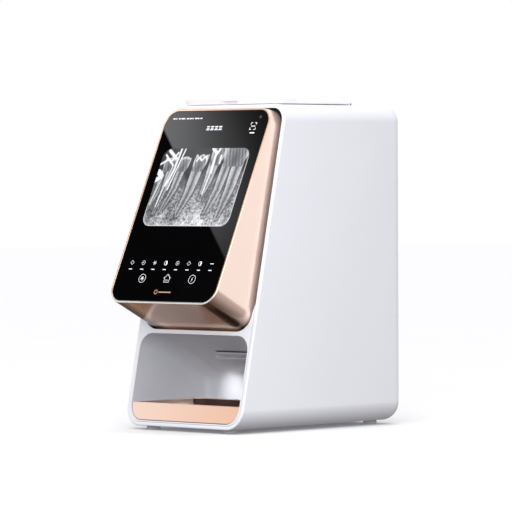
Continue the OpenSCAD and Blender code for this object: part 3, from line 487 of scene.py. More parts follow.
def combine(obj, others, operation="DIFFERENCE"):
    """Cuts the others out of obj, or joins them to it, and removes them."""
    for other in others:
        modifier = obj.modifiers.new("combine", "BOOLEAN")
        modifier.operation = operation
        modifier.solver = "EXACT"
        modifier.object = other
        bake(obj)
        bpy.data.objects.remove(other)
    tidy(obj)


def round_edges(obj, width, segments=2, angle=38.0):
    modifier = obj.modifiers.new("edges", "BEVEL")
    modifier.width = width * MM
    modifier.segments = segments
    modifier.limit_method = "ANGLE"
    modifier.angle_limit = math.radians(angle)
    bake(obj)


def smooth(obj, angle=40.0):
    """Smooth shading that keeps flat faces flat and sharp edges sharp."""
    def change(bm):
        for edge in bm.edges:
            edge.smooth = len(edge.link_faces) == 2 and edge.calc_face_angle(0.0) < math.radians(angle)

    for polygon in obj.data.polygons:
        polygon.use_smooth = True
    edited(obj.data, change)
    modifier = obj.modifiers.new("normals", "WEIGHTED_NORMAL")
    modifier.keep_sharp = True
    modifier.weight = 60
    bake(obj)


replaced = set()


def finish_piece(obj, node, body="case"):
    """Hands a piece over: the body it rides on and the node it stands for, if any."""
    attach(obj, body)
    if node:
        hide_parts(node)
        replaced.add(node)


def quarter(steps):
    """The angles of a quarter turn, both ends included."""
    return [math.pi / 2 * k / steps for k in range(steps + 1)]


def rounded_outline(x0, x1, z0, z1, r_low, r_up, steps=12):
    """Points of a rounded rectangle, counter-clockwise from its lower right arc."""
    corners = [(x1 - r_low, z0 + r_low, r_low, -90), (x1 - r_up, z1 - r_up, r_up, 0),
               (x0 + r_up, z1 - r_up, r_up, 90), (x0 + r_low, z0 + r_low, r_low, 180)]
    points = []
    for cx, cz, r, start in corners:
        for k in range(steps + 1):
            t = math.radians(start + 90 * k / steps)
            points.append((cx + r * math.cos(t), cz + r * math.sin(t)))
    return points


def loft(name, rings, material, closed=True):
    """Skins rings of equal length, with a flat face on each end."""
    count = len(rings[0])
    verts = [p for ring in rings for p in ring]
    faces = []
    for i in range(len(rings) - 1):
        for k in range(count):
            a, b = i * count + k, i * count + (k + 1) % count
            faces.append((a, b, b + count, a + count))
    if closed:
        faces.append(tuple(range(count)))
        faces.append(tuple(range((len(rings) - 1) * count, len(rings) * count)))
    return new_object(name, verts, faces, material)


def solid_block(low, high, to_row=place, name="block", material="black_plastic"):
    """A box in one of the local frames."""
    xs, ys, zs = zip(low, high)
    return new_object(name, [to_row(x, y, z) for x in xs for y in ys for z in zs], BOX_FACES, material)


def rod(start, end, radius, steps=40, edge=0.0):
    """A round bar between two points in row metres; radius and edge in millimetres."""
    axis = (end - start).normalized()
    side = axis.orthogonal().normalized()
    other = axis.cross(side)
    length = (end - start).length / MM
    stations = [(0.0, radius)]
    if edge:
        stations = [(edge * (1 - math.cos(t)), radius - edge * (1 - math.sin(t))) for t in quarter(3)]
    stations = stations + [(length - a, r) for a, r in reversed(stations)]
    rings = [[start + axis * a * MM + (side * math.cos(t) + other * math.sin(t)) * r * MM
              for t in (2 * math.pi * k / steps for k in range(steps))] for a, r in stations]
    return loft("rod", rings, "black_plastic")


def pillow(name, centres, half_x, r, material, arc_steps=8, cap_steps=12):
    """A ball of radius r swept over a flat shape: rounded everywhere, flat in between.

    The shape is a clockwise chain of (y, z) centres, extended to half_x on both sides."""
    columns = []
    count = len(centres)
    for i in range(count):
        (py, pz), (cy, cz), (ny, nz) = centres[i - 1], centres[i], centres[(i + 1) % count]
        start = math.atan2(cz - pz, cy - py) + math.pi / 2
        turn = (start - math.atan2(nz - cz, ny - cy) - math.pi / 2) % (2 * math.pi)
        steps = max(2, math.ceil(arc_steps * turn / (math.pi / 2)))
        columns += [((cy, cz), start - turn * k / steps) for k in range(steps + 1)]
    profile = [(-half_x, -90 + 90 * k / cap_steps) for k in range(cap_steps + 1)]
    profile += [(half_x, 90 * k / cap_steps) for k in range(cap_steps + 1)]
    rings = []
    for x, degrees in profile:
        a = math.radians(degrees)
        rings.append([place(x + r * math.sin(a), cy + r * math.cos(a) * math.cos(t),
                            cz + r * math.cos(a) * math.sin(t)) for (cy, cz), t in columns])
    return loft(name, rings, material)


def slab(name, outline, z0, z1, material, edge_up, edge_low=0.0, to_row=place, steps=4):
    """A plate over an outline function of inset, with round upper and lower edges."""
    rings = [(0.0, z0)]
    if edge_low:
        rings = [(edge_low * (1 - math.sin(t)), z0 + edge_low * (1 - math.cos(t))) for t in quarter(steps)]
    rings += [(edge_up * (1 - math.cos(t)), z1 - edge_up * (1 - math.sin(t))) for t in quarter(steps)]
    return loft(name, [[to_row(x, y, z) for x, y in outline(inset)] for inset, z in rings], material)


# ---------------------------------------------------------------- outer shell
RIM_FILLET, RIM_INNER = 1.3, 0.5


def case_ring(inset, y_of_z):
    points = rounded_outline(-CASE_W / 2 + inset, CASE_W / 2 - inset, FOOT_H + inset,
                             CASE_H - inset, LOW_R - inset, TOP_R - inset, OUTLINE_STEPS)
    return [place(x, y_of_z(z), z) for x, z in points]


def hinge_rod(x0, x1, radius, **shape):
    """A round bar on the axis of the lid's hinge."""
    return rod(place(x0, HINGE_Y, HINGE_Z), place(x1, HINGE_Y, HINGE_Z), radius, **shape)


def make_shell():
    arcs, rear_arcs = quarter(6), quarter(12)
    rings = []
    inner_r = REAR_R - WALL
    for t in reversed(rear_arcs):
        rings.append(case_ring(WALL + inner_r * (1 - math.cos(t)),
                               lambda z, t=t: CASE_D - REAR_R + inner_r * math.sin(t)))
    for t in arcs:
        rings.append(case_ring(WALL - RIM_INNER * (1 - math.cos(t)),
                               lambda z, t=t: front_y(z) + RIM_INNER * (1 - math.sin(t))))
    for t in arcs:
        rings.append(case_ring(RIM_FILLET * (1 - math.sin(t)),
                               lambda z, t=t: front_y(z) + RIM_FILLET * (1 - math.cos(t))))
    for t in rear_arcs:
        rings.append(case_ring(REAR_R * (1 - math.cos(t)),
                               lambda z, t=t: CASE_D - REAR_R + REAR_R * math.sin(t)))
    shell = loft("case_shell", rings, "case_white")
    cover_low, cover_high = node_box("rear_cover")
    base_low, base_high = node_box("base_plate")
    screw_low, screw_high = node_box("base_screws")
    gap = CASING_GAP
    hinge_x = pin_high.x - 6.0
    cover_y = CASE_D - WALL
    lip = 4.0
    ledge = 6.0

    # frame behind the rear opening, and the ears of the lid's hinge
    extra = [solid_block((cover_low.x - gap - ledge, cover_y - 3, cover_low.z - gap - ledge),
                         (cover_high.x + gap + ledge, cover_y + 0.5, cover_high.z + gap + ledge))]
    for side in (-1, 1):
        extra.append(hinge_rod(side * hinge_x, side * (hinge_x + 6), KNUCKLE_R, edge=0.3))
        ends = sorted((side * (hinge_x + 0.3), side * (hinge_x + 5.7)))
        extra.append(solid_block((ends[0], HINGE_Y - KNUCKLE_R, HINGE_Z - 1.4),
                                 (ends[1], HINGE_Y + KNUCKLE_R, HINGE_Z)))
    combine(shell, extra, "UNION")
    cutters = [
        solid_block((cover_low.x - gap, cover_y, cover_low.z - gap),
                    (cover_high.x + gap, CASE_D + 5, cover_high.z + gap)),
        solid_block((cover_low.x - gap + ledge, cover_y - 10, cover_low.z - gap + ledge),
                    (cover_high.x + gap - ledge, cover_y + 5, cover_high.z + gap - ledge)),
        solid_block((funnel_low.x - gap, case_y(funnel_low.y) - gap, CASE_H - WALL - 2),
                    (funnel_high.x + gap, case_y(funnel_high.y) + gap, CASE_H + 2)),
        solid_block((base_low.x + lip, case_y(base_low.y) + lip, 0),
                    (base_high.x - lip, case_y(base_high.y) - lip, FOOT_H + WALL + 3)),
        solid_block((base_low.x - gap, case_y(base_low.y) - gap, FOOT_H + WALL - 1.4),
                    (base_high.x + gap, case_y(base_high.y) + gap, FOOT_H + WALL + 3)),
        hinge_rod(-hinge_x, hinge_x, 2.1),
    ]
    for x in (screw_low.x + 2.6, screw_high.x - 2.6):
        for y in (screw_low.y + 2.6, screw_high.y - 2.6):
            cutters.append(rod(place(x, case_y(y), 0), place(x, case_y(y), FOOT_H + WALL), 1.6, steps=20))
    combine(shell, cutters)
    round_edges(shell, 0.3)
    smooth(shell)
    finish_piece(shell, "outer_shell")


# ---------------------------------------------------------------- niche
def niche_centres():
    """Centres of the niche's side outline, its ceiling bending down in an even curve."""
    z0, y1 = NICHE_TOP - NICHE_R, NICHE_BACK - NICHE_R
    y0 = front_y(z0) + 5
    drop, steps = 32.0, 9
    ceiling = []
    for k in range(steps + 1):
        t = k / steps
        ceiling.append((y0 + (y1 - y0) * t, z0 - drop * (0.32 * t + 0.68 * t ** 1.75)))
    return [(-20, z0)] + ceiling + [(y1, NICHE_FLOOR + NICHE_R + 6), (y1 - 3.5, NICHE_FLOOR + NICHE_R),
                                    (-20, NICHE_FLOOR + NICHE_R)]


def front_cutter(out):
    """Everything in front of the leaning front, moved out by a distance."""
    return solid_block((-200, -60, out), (200, 400, 200), on_front)


def make_niche():
    half = NICHE_W / 2 - NICHE_R
    liner = pillow("niche_liner_shell", niche_centres(), half, NICHE_R + LINER_T, "liner_grey")
    inset = WALL + CASING_GAP
    seat = SEAT_LOW / math.cos(LEAN) - 0.6
    brow = seat + 24

    def plate(name, outline, n0, n1):
        return loft(name, [[on_front(x, s, n) for x, s in outline] for n in (n0, n1)], "case_white")

    outline = rounded_outline(-CASE_W / 2 + inset, CASE_W / 2 - inset,
                              (FOOT_H + inset) / math.cos(LEAN), brow, LOW_R - inset, 0.3)
    flange = plate("flange", outline, -2.5, 1.0)
    hole = rounded_outline(-SEAT_W / 2 - 1.5, SEAT_W / 2 + 1.5, seat, brow + 60, 16.5, 16.5)
    flared = [(x + math.copysign(13, x) if s > seat + 30 else x, s) for x, s in hole]
    opening = plate("opening", flared, -10.0, 5.0)
    lip = solid_block((-CASE_W / 2 + inset + 0.4, NICHE_TOP / math.cos(LEAN) + LINER_T, -FRAME_RECESS - 3),
                      (CASE_W / 2 - inset - 0.4, seat - 0.5, -1.0), on_front)
    combine(flange, [opening])
    combine(liner, [flange, lip], "UNION")
    room = pillow("room", niche_centres(), half, NICHE_R, "liner_grey")
    combine(liner, [room, front_cutter(0.0), exit_cutter()])
    liner.data.materials.append(MATERIALS["case_white"])
    round_edges(liner, 0.5, segments=3, angle=50)
    for polygon in liner.data.polygons:
        level = (polygon.center - on_front(0, 0, 0)).dot(FRONT_NORMAL)
        facing = abs(polygon.normal.dot(FRONT_NORMAL))
        polygon.material_index = 1 if level > -0.8 * MM and facing > 0.2 else 0
    smooth(liner)
    finish_piece(liner, "niche_liner")


def make_comb():
    """The toothed strip along the rear edge of the exit."""
    pitch, tooth, thick = 3.2, 1.7, 1.2
    low, high = node_box("exit_guide")
    half = high.x
    tilt = math.radians(43)
    start_y, start_z = case_y(low.y) - 1.6, high.z + 2.0

    def to_row(x, a, b):
        return place(x, start_y + a * math.cos(tilt) + b * math.sin(tilt),
                     start_z - a * math.sin(tilt) + b * math.cos(tilt))

    strip = solid_block((-half, 0, -thick), (half, 4.4, 0), to_row, "exit_comb", "guide_trim")
    count = int(2 * half / pitch)
    gaps = [solid_block(((k - count / 2 + 0.5) * pitch + tooth / 2, 2.9, -3),
                        ((k - count / 2 + 1.5) * pitch - tooth / 2, 6, 1), to_row)
            for k in range(count - 1)]
    combine(strip, gaps)
    round_edges(strip, 0.15)
    smooth(strip)
    finish_piece(strip, "exit_guide")


EXIT_LEAN = math.radians(12.0)
PATH_Y, PATH_W, PATH_T, EXIT_TOP = 74.0, 46.0, 5.0, 102.0


def exit_cutter():
    """The slanted end of the plate path, where it breaks through the niche's curved rear wall."""
    verts = []
    for x in (-PATH_W / 2, PATH_W / 2):
        for z in (EXIT_TOP, 45.0):
            shift = (EXIT_TOP - z) * math.tan(EXIT_LEAN)
            for side in (-1, 1):
                verts.append(place(x, PATH_Y + side * PATH_T / 2 - shift, z))
    return new_object("exit", verts, BOX_FACES, "black_plastic")


# ---------------------------------------------------------------- tray
TRAY_GAP, TRAY_WALL, TRAY_FRONT = 0.4, 1.8, 0.8


def make_tray():
    r = NICHE_R - TRAY_GAP
    half = NICHE_W / 2 - TRAY_GAP - r
    floor = tray_low.z
    top = tray_high.z
    back = case_y(tray_high.y)

    def bowl(name, inset, lift):
        rr = r - inset
        centres = [(-30, floor + r + 30), (back - inset - rr, floor + r + 30),
                   (back - inset - rr, floor + lift + rr), (-30, floor + lift + rr)]
        return pillow(name, centres, half, rr, "tray_gold", arc_steps=12)

    tray = bowl("tray_body", 0, 0)
    roof = solid_block((-200, -60, top), (200, 300, top + 100))
    combine(tray, [roof, front_cutter(-TRAY_FRONT)])
    hollow = bowl("hollow", TRAY_WALL, TRAY_WALL)
    combine(hollow, [front_cutter(-TRAY_FRONT - TRAY_WALL)])
    combine(tray, [hollow])
    round_edges(tray, 0.5, segments=3, angle=50)
    # painted shade: the tray's inner back wall takes the dark pad material, standing in for the shade on
    # that wall
    tray.data.materials.append(MATERIALS["soft_pad"])
    painted_shade_from_y = (back - TRAY_WALL - 7 + FOOT_LINE) * MM
    for polygon in tray.data.polygons:
        if polygon.center.y > painted_shade_from_y and polygon.normal.y < -0.35 and polygon.center.z < (top - 0.6) * MM:
            polygon.material_index = 1
    smooth(tray)
    finish_piece(tray, "collecting_tray", "tray")
    pad_low, pad_high = node_box("tray_pad")

    def pad_outline(inset):
        return rounded_outline(pad_low.x + inset, pad_high.x - inset, case_y(pad_low.y) + inset,
                               case_y(pad_high.y) - inset, 5 - inset, 5 - inset, 6)

    pad = slab("tray_felt", pad_outline, pad_low.z, pad_high.z, "soft_pad", 0.3)
    ribs = [solid_block((pad_low.x + 6, y - 0.5, pad_high.z - 0.3),
                        (pad_high.x - 6, y + 0.5, pad_high.z + 0.5))
            for y in np.arange(case_y(pad_low.y) + 8, case_y(pad_high.y) - 6, 6.0)]
    combine(pad, ribs)
    round_edges(pad, 0.15, angle=50)
    smooth(pad)
    finish_piece(pad, "tray_pad", "tray")


# ---------------------------------------------------------------- display
GLASS_SINK, GLASS_T = 0.2, 1.8


def glass_outline(grow, steps=OUTLINE_STEPS):
    """The touch glass's outline grown by a distance, in glass coordinates."""
    r = GLASS_R + grow
    return rounded_outline(-GLASS_W / 2 - grow, GLASS_W / 2 + grow, -grow, GLASS_L + grow, r, r, steps)


def make_housing():
    front = glass_outline(RIM_W)
    r = GLASS_R + RIM_W

    def rear_edge(inset):
        outline = rounded_outline(-SEAT_W / 2 + inset, SEAT_W / 2 - inset,
                                  SEAT_LOW / math.cos(LEAN) + inset, SEAT_HIGH / math.cos(LEAN) - inset,
                                  r - inset, r - inset, OUTLINE_STEPS)
        return [on_front(x, s, -FRAME_RECESS) for x, s in outline]

    rear_ring = rear_edge(0.0)
    rings = []
    # inside wall, seat of the glass and inner edge of the rim
    rings.append([on_glass(x, s, -8.5) for x, s in glass_outline(-3.0)])
    rings.append([on_glass(x, s, -2.5) for x, s in glass_outline(-3.0)])
    rings.append([on_glass(x, s, -2.5) for x, s in glass_outline(0.15)])
    edge = 0.35
    for t in quarter(3):
        grow, depth = 0.15 + edge * (1 - math.cos(t)), edge * (1 - math.sin(t))
        rings.append([on_glass(x, s, -depth) for x, s in glass_outline(grow)])
    # outer edge of the rim: a round chamfer, then the flared side down to the seat
    chamfer = 0.7
    flat = glass_outline(RIM_W - chamfer)
    for t in quarter(5):
        rings.append([on_glass(x0 + (x1 - x0) * math.sin(t), s0 + (s1 - s0) * math.sin(t),
                               -chamfer * (1 - math.cos(t))) for (x0, s0), (x1, s1) in zip(flat, front)])
    start = rings[-1]
    for k in range(1, 9):
        rings.append([a.lerp(b, k / 8) for a, b in zip(start, rear_ring)])
    # open rear, 2.2 mm thick, and the inside back to the first ring
    rings.append(rear_edge(2.2))
    rings.append(rings[0])
    housing = loft("display_body", rings, "rose_gold", closed=False)
    housing.data.materials.append(MATERIALS["rose_rim"])
    for polygon in housing.data.polygons:
        level = (polygon.center - on_glass(0, 0, 0)).dot(GLASS_NORMAL)
        if level > -(chamfer + 0.5) * MM:
            polygon.material_index = 1
    smooth(housing, 35)
    finish_piece(housing, "display_housing")


def make_glass():
    def outline(inset):
        return glass_outline(-inset)

    glass = slab("screen_glass", outline, -GLASS_SINK - GLASS_T, -GLASS_SINK, "screen_glass", 0.35,
                 to_row=on_glass)
    smooth(glass)
    finish_piece(glass, "touch_glass")


# ---------------------------------------------------------------- lid
def make_lid():
    y0 = case_y(lid_low.y)
    z0 = CASE_H + 0.4
    plate_top = z0 + 2.0
    half = lid_high.x
    bar_depth = 25.0

    def outline_to(rear):
        def outline(inset):
            return rounded_outline(-half + inset, half - inset, y0 + inset, rear - inset, 10 - inset,
                                   3 - inset, 10)
        return outline

    lid = slab("lid_body", outline_to(HINGE_Y - KNUCKLE_R - 0.6), z0, plate_top, "lid_white", 0.8, 0.3)
    bar = slab("bar", outline_to(y0 + bar_depth), z0, lid_high.z, "lid_white", 1.6, 0.3, steps=6)
    knuckle_x = pin_high.x - 6.3
    barrel = hinge_rod(-knuckle_x, knuckle_x, KNUCKLE_R, edge=0.25)
    web = solid_block((-knuckle_x + 0.3, HINGE_Y - KNUCKLE_R - 1.6, z0 + 0.05),
                      (knuckle_x - 0.3, HINGE_Y, HINGE_Z + KNUCKLE_R - 0.02))
    combine(lid, [bar, barrel, web], "UNION")
    pocket = solid_block((funnel_low.x - 2, y0 + 5, z0 - 1),
                         (funnel_high.x + 2, y0 + bar_depth - 3, lid_high.z - 2))
    notch = pillow("notch", [(y0 - 4, z0 + 1.6), (y0 + 2.0, z0 + 1.6), (y0 + 2.0, z0 - 4),
                             (y0 - 4, z0 - 4)], 9.0, 1.3, "lid_white")
    hole = hinge_rod(-90, 90, 0.95, steps=24)
    magnet_low, magnet_high = node_box("lid_magnet")
    mid = (magnet_low + magnet_high) / 2
    seat = rod(place(mid.x, case_y(mid.y), z0 - 1), place(mid.x, case_y(mid.y), z0 + 2.4), 3.05, steps=32)
    combine(lid, [pocket, notch, hole, seat])
    round_edges(lid, 0.25, angle=50)
    smooth(lid)
    finish_piece(lid, "inlet_lid", "lid")


# ---------------------------------------------------------------- carried-over nodes
NODE_SLOT = {part["node"]: part["material_slot"] for part in frame["record"]["subparts"]}
BODY_OF = {node: body for body, nodes in frame["record"]["behaviour"]["bodies"].items() for node in nodes}


def open_edges(mesh):
    bm = bmesh.new()
    bm.from_mesh(mesh)
    count = sum(len(edge.link_faces) != 2 for edge in bm.edges)
    bm.free()
    return count


EDGE_WIDTH = 0.15
# merge distance in metres and edge width, tried in turn until the piece is closed
ATTEMPTS = [(0.000001, EDGE_WIDTH), (0.0000002, EDGE_WIDTH), (0.00001, EDGE_WIDTH),
            (0.0000002, EDGE_WIDTH / 2), (0.0000002, 0)]


def refine(node):
    """A cleaned copy of a CAD node with its edges rounded, which stands for the node."""
    for merge, rounding in ATTEMPTS:
        def clean(bm, merge=merge):
            bmesh.ops.remove_doubles(bm, verts=bm.verts, dist=merge)
            bmesh.ops.dissolve_limit(bm, angle_limit=math.radians(1.0), verts=bm.verts, edges=bm.edges)
            bmesh.ops.recalc_face_normals(bm, faces=bm.faces)
            for face in bm.faces:
                face.material_index = 0

        mesh = frame["nodes"][node].data.copy()
        mesh.materials.clear()
        mesh.materials.append(MATERIALS[NODE_SLOT[node]])
        edited(mesh, clean)
        piece = add_object(node + "_finished", mesh)
        if rounding:
            round_edges(piece, rounding)
        if not open_edges(piece.data):
            break
        if rounding:
            bpy.data.objects.remove(piece)
    smooth(piece)
    finish_piece(piece, node, BODY_OF[node])


# ---------------------------------------------------------------- screen picture and marks
PICTURE = (-52.0, 52.0, 70.0, 143.0)
PICTURE_R = 9.0
DECAL_LOW, DECAL_TOP = -GLASS_SINK - 0.01, -GLASS_SINK + 0.03


def soft_step(low, high, value):
    t = np.clip((value - low) / (high - low), 0.0, 1.0)
    return t * t * (3 - 2 * t)


def along_line(x, s, x0, s0, x1, s1):
    """How far along a line a point lies, 0 to 1, and its distance from it."""
    dx, ds = x1 - x0, s1 - s0
    t = np.clip(((x - x0) * dx + (s - s0) * ds) / (dx * dx + ds * ds), 0, 1)
    return t, np.hypot(x - x0 - t * dx, s - s0 - t * ds)


def draw_root(tone, grain, x, s, neck, tip, wide, narrow):
    """A root from its neck to its tip: dark ligament, bright wall and a darker canal."""
    bend = (tip[0] - neck[0]) * 0.25
    middle = ((neck[0] + tip[0]) / 2 - bend, (neck[1] + tip[1]) / 2)
    t0, off0 = along_line(x, s, *neck, *middle)
    t1, off1 = along_line(x, s, *middle, *tip)
    off = np.minimum(off0, off1)
    t = np.where(off0 < off1, t0, 1 + t1) / 2
    half = wide + (narrow - wide) * t ** 1.6
    ligament = np.exp(-((off - half - 1.2) / 1.0) ** 2)
    tone = tone * (1 - 0.62 * ligament)
    inside = 1 - soft_step(half - 0.35, half + 0.35, off)
    body = 0.60 - 0.20 * t + 0.20 * np.clip(off / half, 0, 1) ** 2
    body = body - 0.26 * np.exp(-(off / (0.22 * half + 0.15)) ** 2) * (1 - 0.6 * t)
    tone = tone * (1 - inside) + body * inside
    return tone, grain * (1 - 0.70 * inside)


def draw_crown(tone, grain, x, s, centre, half_x, half_s, cusps, tilt):
    """A crown: bright enamel round softer dentine, waisted at its neck, its biting edge cusped."""
    cx, cs = centre
    height = np.clip((s - cs + half_s) / (2 * half_s), 0, 1)
    waist = half_x * (0.74 + 0.34 * np.sin(height * math.pi * 0.72))
    u = (x - cx - tilt * (s - cs)) / waist
    edge = cs + half_s * (0.74 + 0.26 * np.abs(np.cos(np.clip(u, -1, 1) * math.pi * cusps / 2)))
    inside = (1 - soft_step(0.94, 1.03, np.abs(u))) * (1 - soft_step(-0.4, 0.4, s - edge))
    inside = inside * soft_step(-0.2, 1.2, s - (cs - half_s))
    enamel = np.maximum(soft_step(0.60, 0.92, np.abs(u)) * soft_step(0.15, 0.5, height),
                        soft_step(-3.4, -1.2, s - edge))
    pulp = np.exp(-(u / 0.26) ** 2 - ((height - 0.25) / 0.30) ** 2)
    streaks = 0.07 * np.sin(x * 1.7 + 0.5 * s) + 0.05 * np.sin(x * 3.1 - 0.3 * s)
    tone = tone * (1 - inside) + (0.50 + 0.26 * enamel - 0.22 * pulp + streaks) * inside
    return tone, grain * (1 - 0.30 * inside)


def draw_metal(tone, grain, x, s, points, width):
    """Dense filling or post: a bright band along a run of points."""
    for (x0, s0), (x1, s1) in zip(points, points[1:]):
        off = along_line(x, s, x0, s0, x1, s1)[1]
        solid = 1 - soft_step(width - 0.22, width + 0.22, off)
        tone = np.maximum(tone, solid)
        grain = grain * (1 - solid)
    return tone, grain


# neck, tip, half width at the neck and at the tip of each root, then the crowns and fillings
ROOTS = [((-44, 121), (-51, 86), 3.6, 1.2), ((-37, 123), (-42, 82), 3.8, 1.3),
         ((-24, 126), (-34, 84), 4.6, 1.4),
         ((-5, 124), (-13, 80), 6.4, 1.9), ((13, 128), (9, 96), 5.6, 1.8),
         ((29, 128), (20, 80), 5.4, 1.9), ((42, 128), (36, 78), 6.4, 2.2)]
CROWNS = [((-40, 128), 7.4, 7.0, 2, 0.10), ((-23, 128), 6.4, 7.5, 1, 0.10),
          ((-4, 129), 7.8, 8.6, 2, 0.12), ((15, 136), 7.6, 10.0, 1, 0.10), ((37, 138), 14.5, 13.0, 3, 0.08)]
FILLINGS = [(((-52, 128), (-43, 133), (-36, 127)), 1.0), (((-48, 137), (-40, 130), (-34, 139)), 1.0),
            (((-45, 141), (-35, 134)), 1.6), (((-51, 121), (-47, 118)), 2.6),
            (((-52, 113), (-47, 116)), 2.2),
            (((-31, 144), (-33, 122), (-38, 108)), 1.15), (((-26, 144), (-29, 130), (-34, 104)), 0.8),
            (((-36, 126), (-39, 108), (-42, 88)), 0.55), (((-44, 118), (-50, 90)), 0.5),
            (((-9, 131), (-6, 134.5), (-3, 131.5), (1.5, 136), (3, 132)), 0.85),
            (((7, 142.5), (12, 139), (12.5, 120)), 1.5), (((16, 143), (12.5, 136)), 1.2),
            (((12.3, 121), (10, 100)), 0.8), (((19, 136), (19.5, 129)), 1.0)]


def picture_tones(x, s):
    """Brightness and grain of the x-ray picture over its own plane."""
    crest = 120 + 3.0 * np.sin(x * 0.19 + 0.6) - 2.0 * np.sin(x * 0.43 + 1) + 0.09 * x
    bone = 1 - soft_step(-5.0, 2.0, s - crest)
    depth = np.clip((120 - s) / 50, 0, 1)
    waves = 0.07 * np.sin(x * 0.27 + s * 0.13) + 0.05 * np.sin(x * 0.61 - s * 0.31)
    tone = bone * (0.15 + 0.17 * depth + waves)
    tone = tone + 0.19 * np.exp(-((x - 10) / 20) ** 2 - ((s - 74) / 9) ** 2)
    tone = tone + 0.12 * np.exp(-((x + 2) / 10) ** 2 - ((s - 92) / 9) ** 2)
    tone = tone - 0.22 * np.exp(-((x + 14) / 8) ** 2 - ((s - 77) / 4) ** 2)
    tone = tone - 0.16 * np.exp(-((x + 46) / 9) ** 2 - ((s - 84) / 8) ** 2)
    grain = bone * (0.34 + 0.22 * depth)
    for draw, shapes in ((draw_root, ROOTS), (draw_crown, CROWNS), (draw_metal, FILLINGS)):
        for shape in shapes:
            tone, grain = draw(tone, grain, x, s, *shape)
    return np.clip(tone, 0, 1), grain + 0.05


def make_picture():
    """A fine grid inside a rounded outline, with the picture's tones on its points."""
    x0, x1, s0, s1 = PICTURE
    step = 0.42
    columns = int((x1 - x0) / step) + 1
    rows = int((s1 - s0) / step) + 1
    bm = bmesh.new()
    layer = bm.verts.layers.float_color.new("tone")
    gx, gs = np.meshgrid(np.linspace(x0, x1, columns), np.linspace(s0, s1, rows), indexing="ij")
    # pull the corners onto their arcs
    cx, cs = (x0 + x1) / 2, (s0 + s1) / 2
    hx, hs = (x1 - x0) / 2, (s1 - s0) / 2
    ux, us = gx - cx, gs - cs
    arc = np.sqrt(np.maximum(PICTURE_R ** 2 - (np.abs(us) - hs + PICTURE_R) ** 2, 0))
    reach_x = np.where(np.abs(us) > hs - PICTURE_R, hx - PICTURE_R + arc, hx)
    px = cx + ux / hx * reach_x
    ps = gs
    tone, grain = picture_tones(px, ps)
    edge = np.minimum.reduce([np.abs(px - cx - reach_x), np.abs(px - cx + reach_x), ps - s0])
    lit_edge = (1 - soft_step(0.45, 0.85, edge)) * (1 - soft_step(108, 122, ps - 0.45 * px))
    tone = np.maximum(tone, 0.92 * lit_edge)
    grain = grain * (1 - lit_edge)
    top, low = [], []
    for i in range(columns):
        for j in range(rows):
            vert = bm.verts.new(on_glass(px[i, j], ps[i, j], DECAL_TOP))
            vert[layer] = (tone[i, j], grain[i, j], 0, 1)
            top.append(vert)
    border = [(i, 0) for i in range(columns)] + [(columns - 1, j) for j in range(1, rows)]
    border += [(i, rows - 1) for i in range(columns - 2, -1, -1)] + [(0, j) for j in range(rows - 2, 0, -1)]
    for i, j in border:
        low.append(bm.verts.new(on_glass(px[i, j], ps[i, j], DECAL_LOW)))
    for i in range(columns - 1):
        for j in range(rows - 1):
            a = i * rows + j
            bm.faces.new((top[a], top[a + rows], top[a + rows + 1], top[a + 1]))
    rim = [top[i * rows + j] for i, j in border]
    for k in range(len(border)):
        m = (k + 1) % len(border)
        bm.faces.new((rim[k], low[k], low[m], rim[m]))
    bm.faces.new(low)
    bmesh.ops.recalc_face_normals(bm, faces=bm.faces)
    mesh = bpy.data.meshes.new("screen_picture")
    bm.to_mesh(mesh)
    bm.free()
    mesh.materials.append(MATERIALS["radiograph"])
    finish_piece(add_object("screen_picture", mesh), None)


class Marks:
    """Thin raised strokes on the glass, gathered into one piece."""

    def __init__(self):
        self.verts, self.faces = [], []

    def plate(self, outline):
        """A closed flat shape."""
        base, count = len(self.verts), len(outline)
        for level in (DECAL_LOW, DECAL_TOP):
            self.verts += [on_glass(x, s, level) for x, s in outline]
        self.faces.append(tuple(base + k for k in reversed(range(count))))
        self.faces.append(tuple(base + count + k for k in range(count)))
        for k in range(count):
            m = (k + 1) % count
            self.faces.append((base + k, base + m, base + count + m, base + count + k))

    def bar(self, x0, s0, x1, s1):
        self.plate([(x0, s0), (x1, s0), (x1, s1), (x0, s1)])

    def disc(self, x, s, r, steps=20):
        self.plate([(x + r * math.cos(t), s + r * math.sin(t))
                    for t in (2 * math.pi * k / steps for k in range(steps))])

    def line(self, points, width=0.25):
        """A stroke along points, mitred at its bends."""
        for (x0, s0), (x1, s1) in zip(points, points[1:]):
            length = math.hypot(x1 - x0, s1 - s0)
            nx, ns = -(s1 - s0) / length * width / 2, (x1 - x0) / length * width / 2
            self.plate([(x0 + nx, s0 + ns), (x0 - nx, s0 - ns), (x1 - nx, s1 - ns), (x1 + nx, s1 + ns)])

    def ring(self, x, s, r, width=0.25, steps=36, start=0.0, turn=360.0):
        """A ring or an arc of one."""
        closed = turn >= 360
        count = steps if closed else steps + 1
        angles = [math.radians(start + turn * k / steps) for k in range(count)]
        base = len(self.verts)
        for t in angles:
            for level in (DECAL_LOW, DECAL_TOP):
                for radius in (r - width / 2, r + width / 2):
                    self.verts.append(on_glass(x + radius * math.cos(t), s + radius * math.sin(t), level))
        spans = count if closed else count - 1
        for k in range(spans):
            a, b = base + 4 * k, base + 4 * ((k + 1) % count)
            self.faces += [(a, b, b + 1, a + 1), (a + 2, a + 3, b + 3, b + 2),
                           (a, a + 2, b + 2, b), (a + 1, b + 1, b + 3, a + 3)]
        if not closed:
            last = base + 4 * (count - 1)
            self.faces += [(base, base + 1, base + 3, base + 2), (last, last + 2, last + 3, last + 1)]

    def piece(self, name, material):
        obj = new_object(name, self.verts, self.faces, material)
        finish_piece(obj, None)


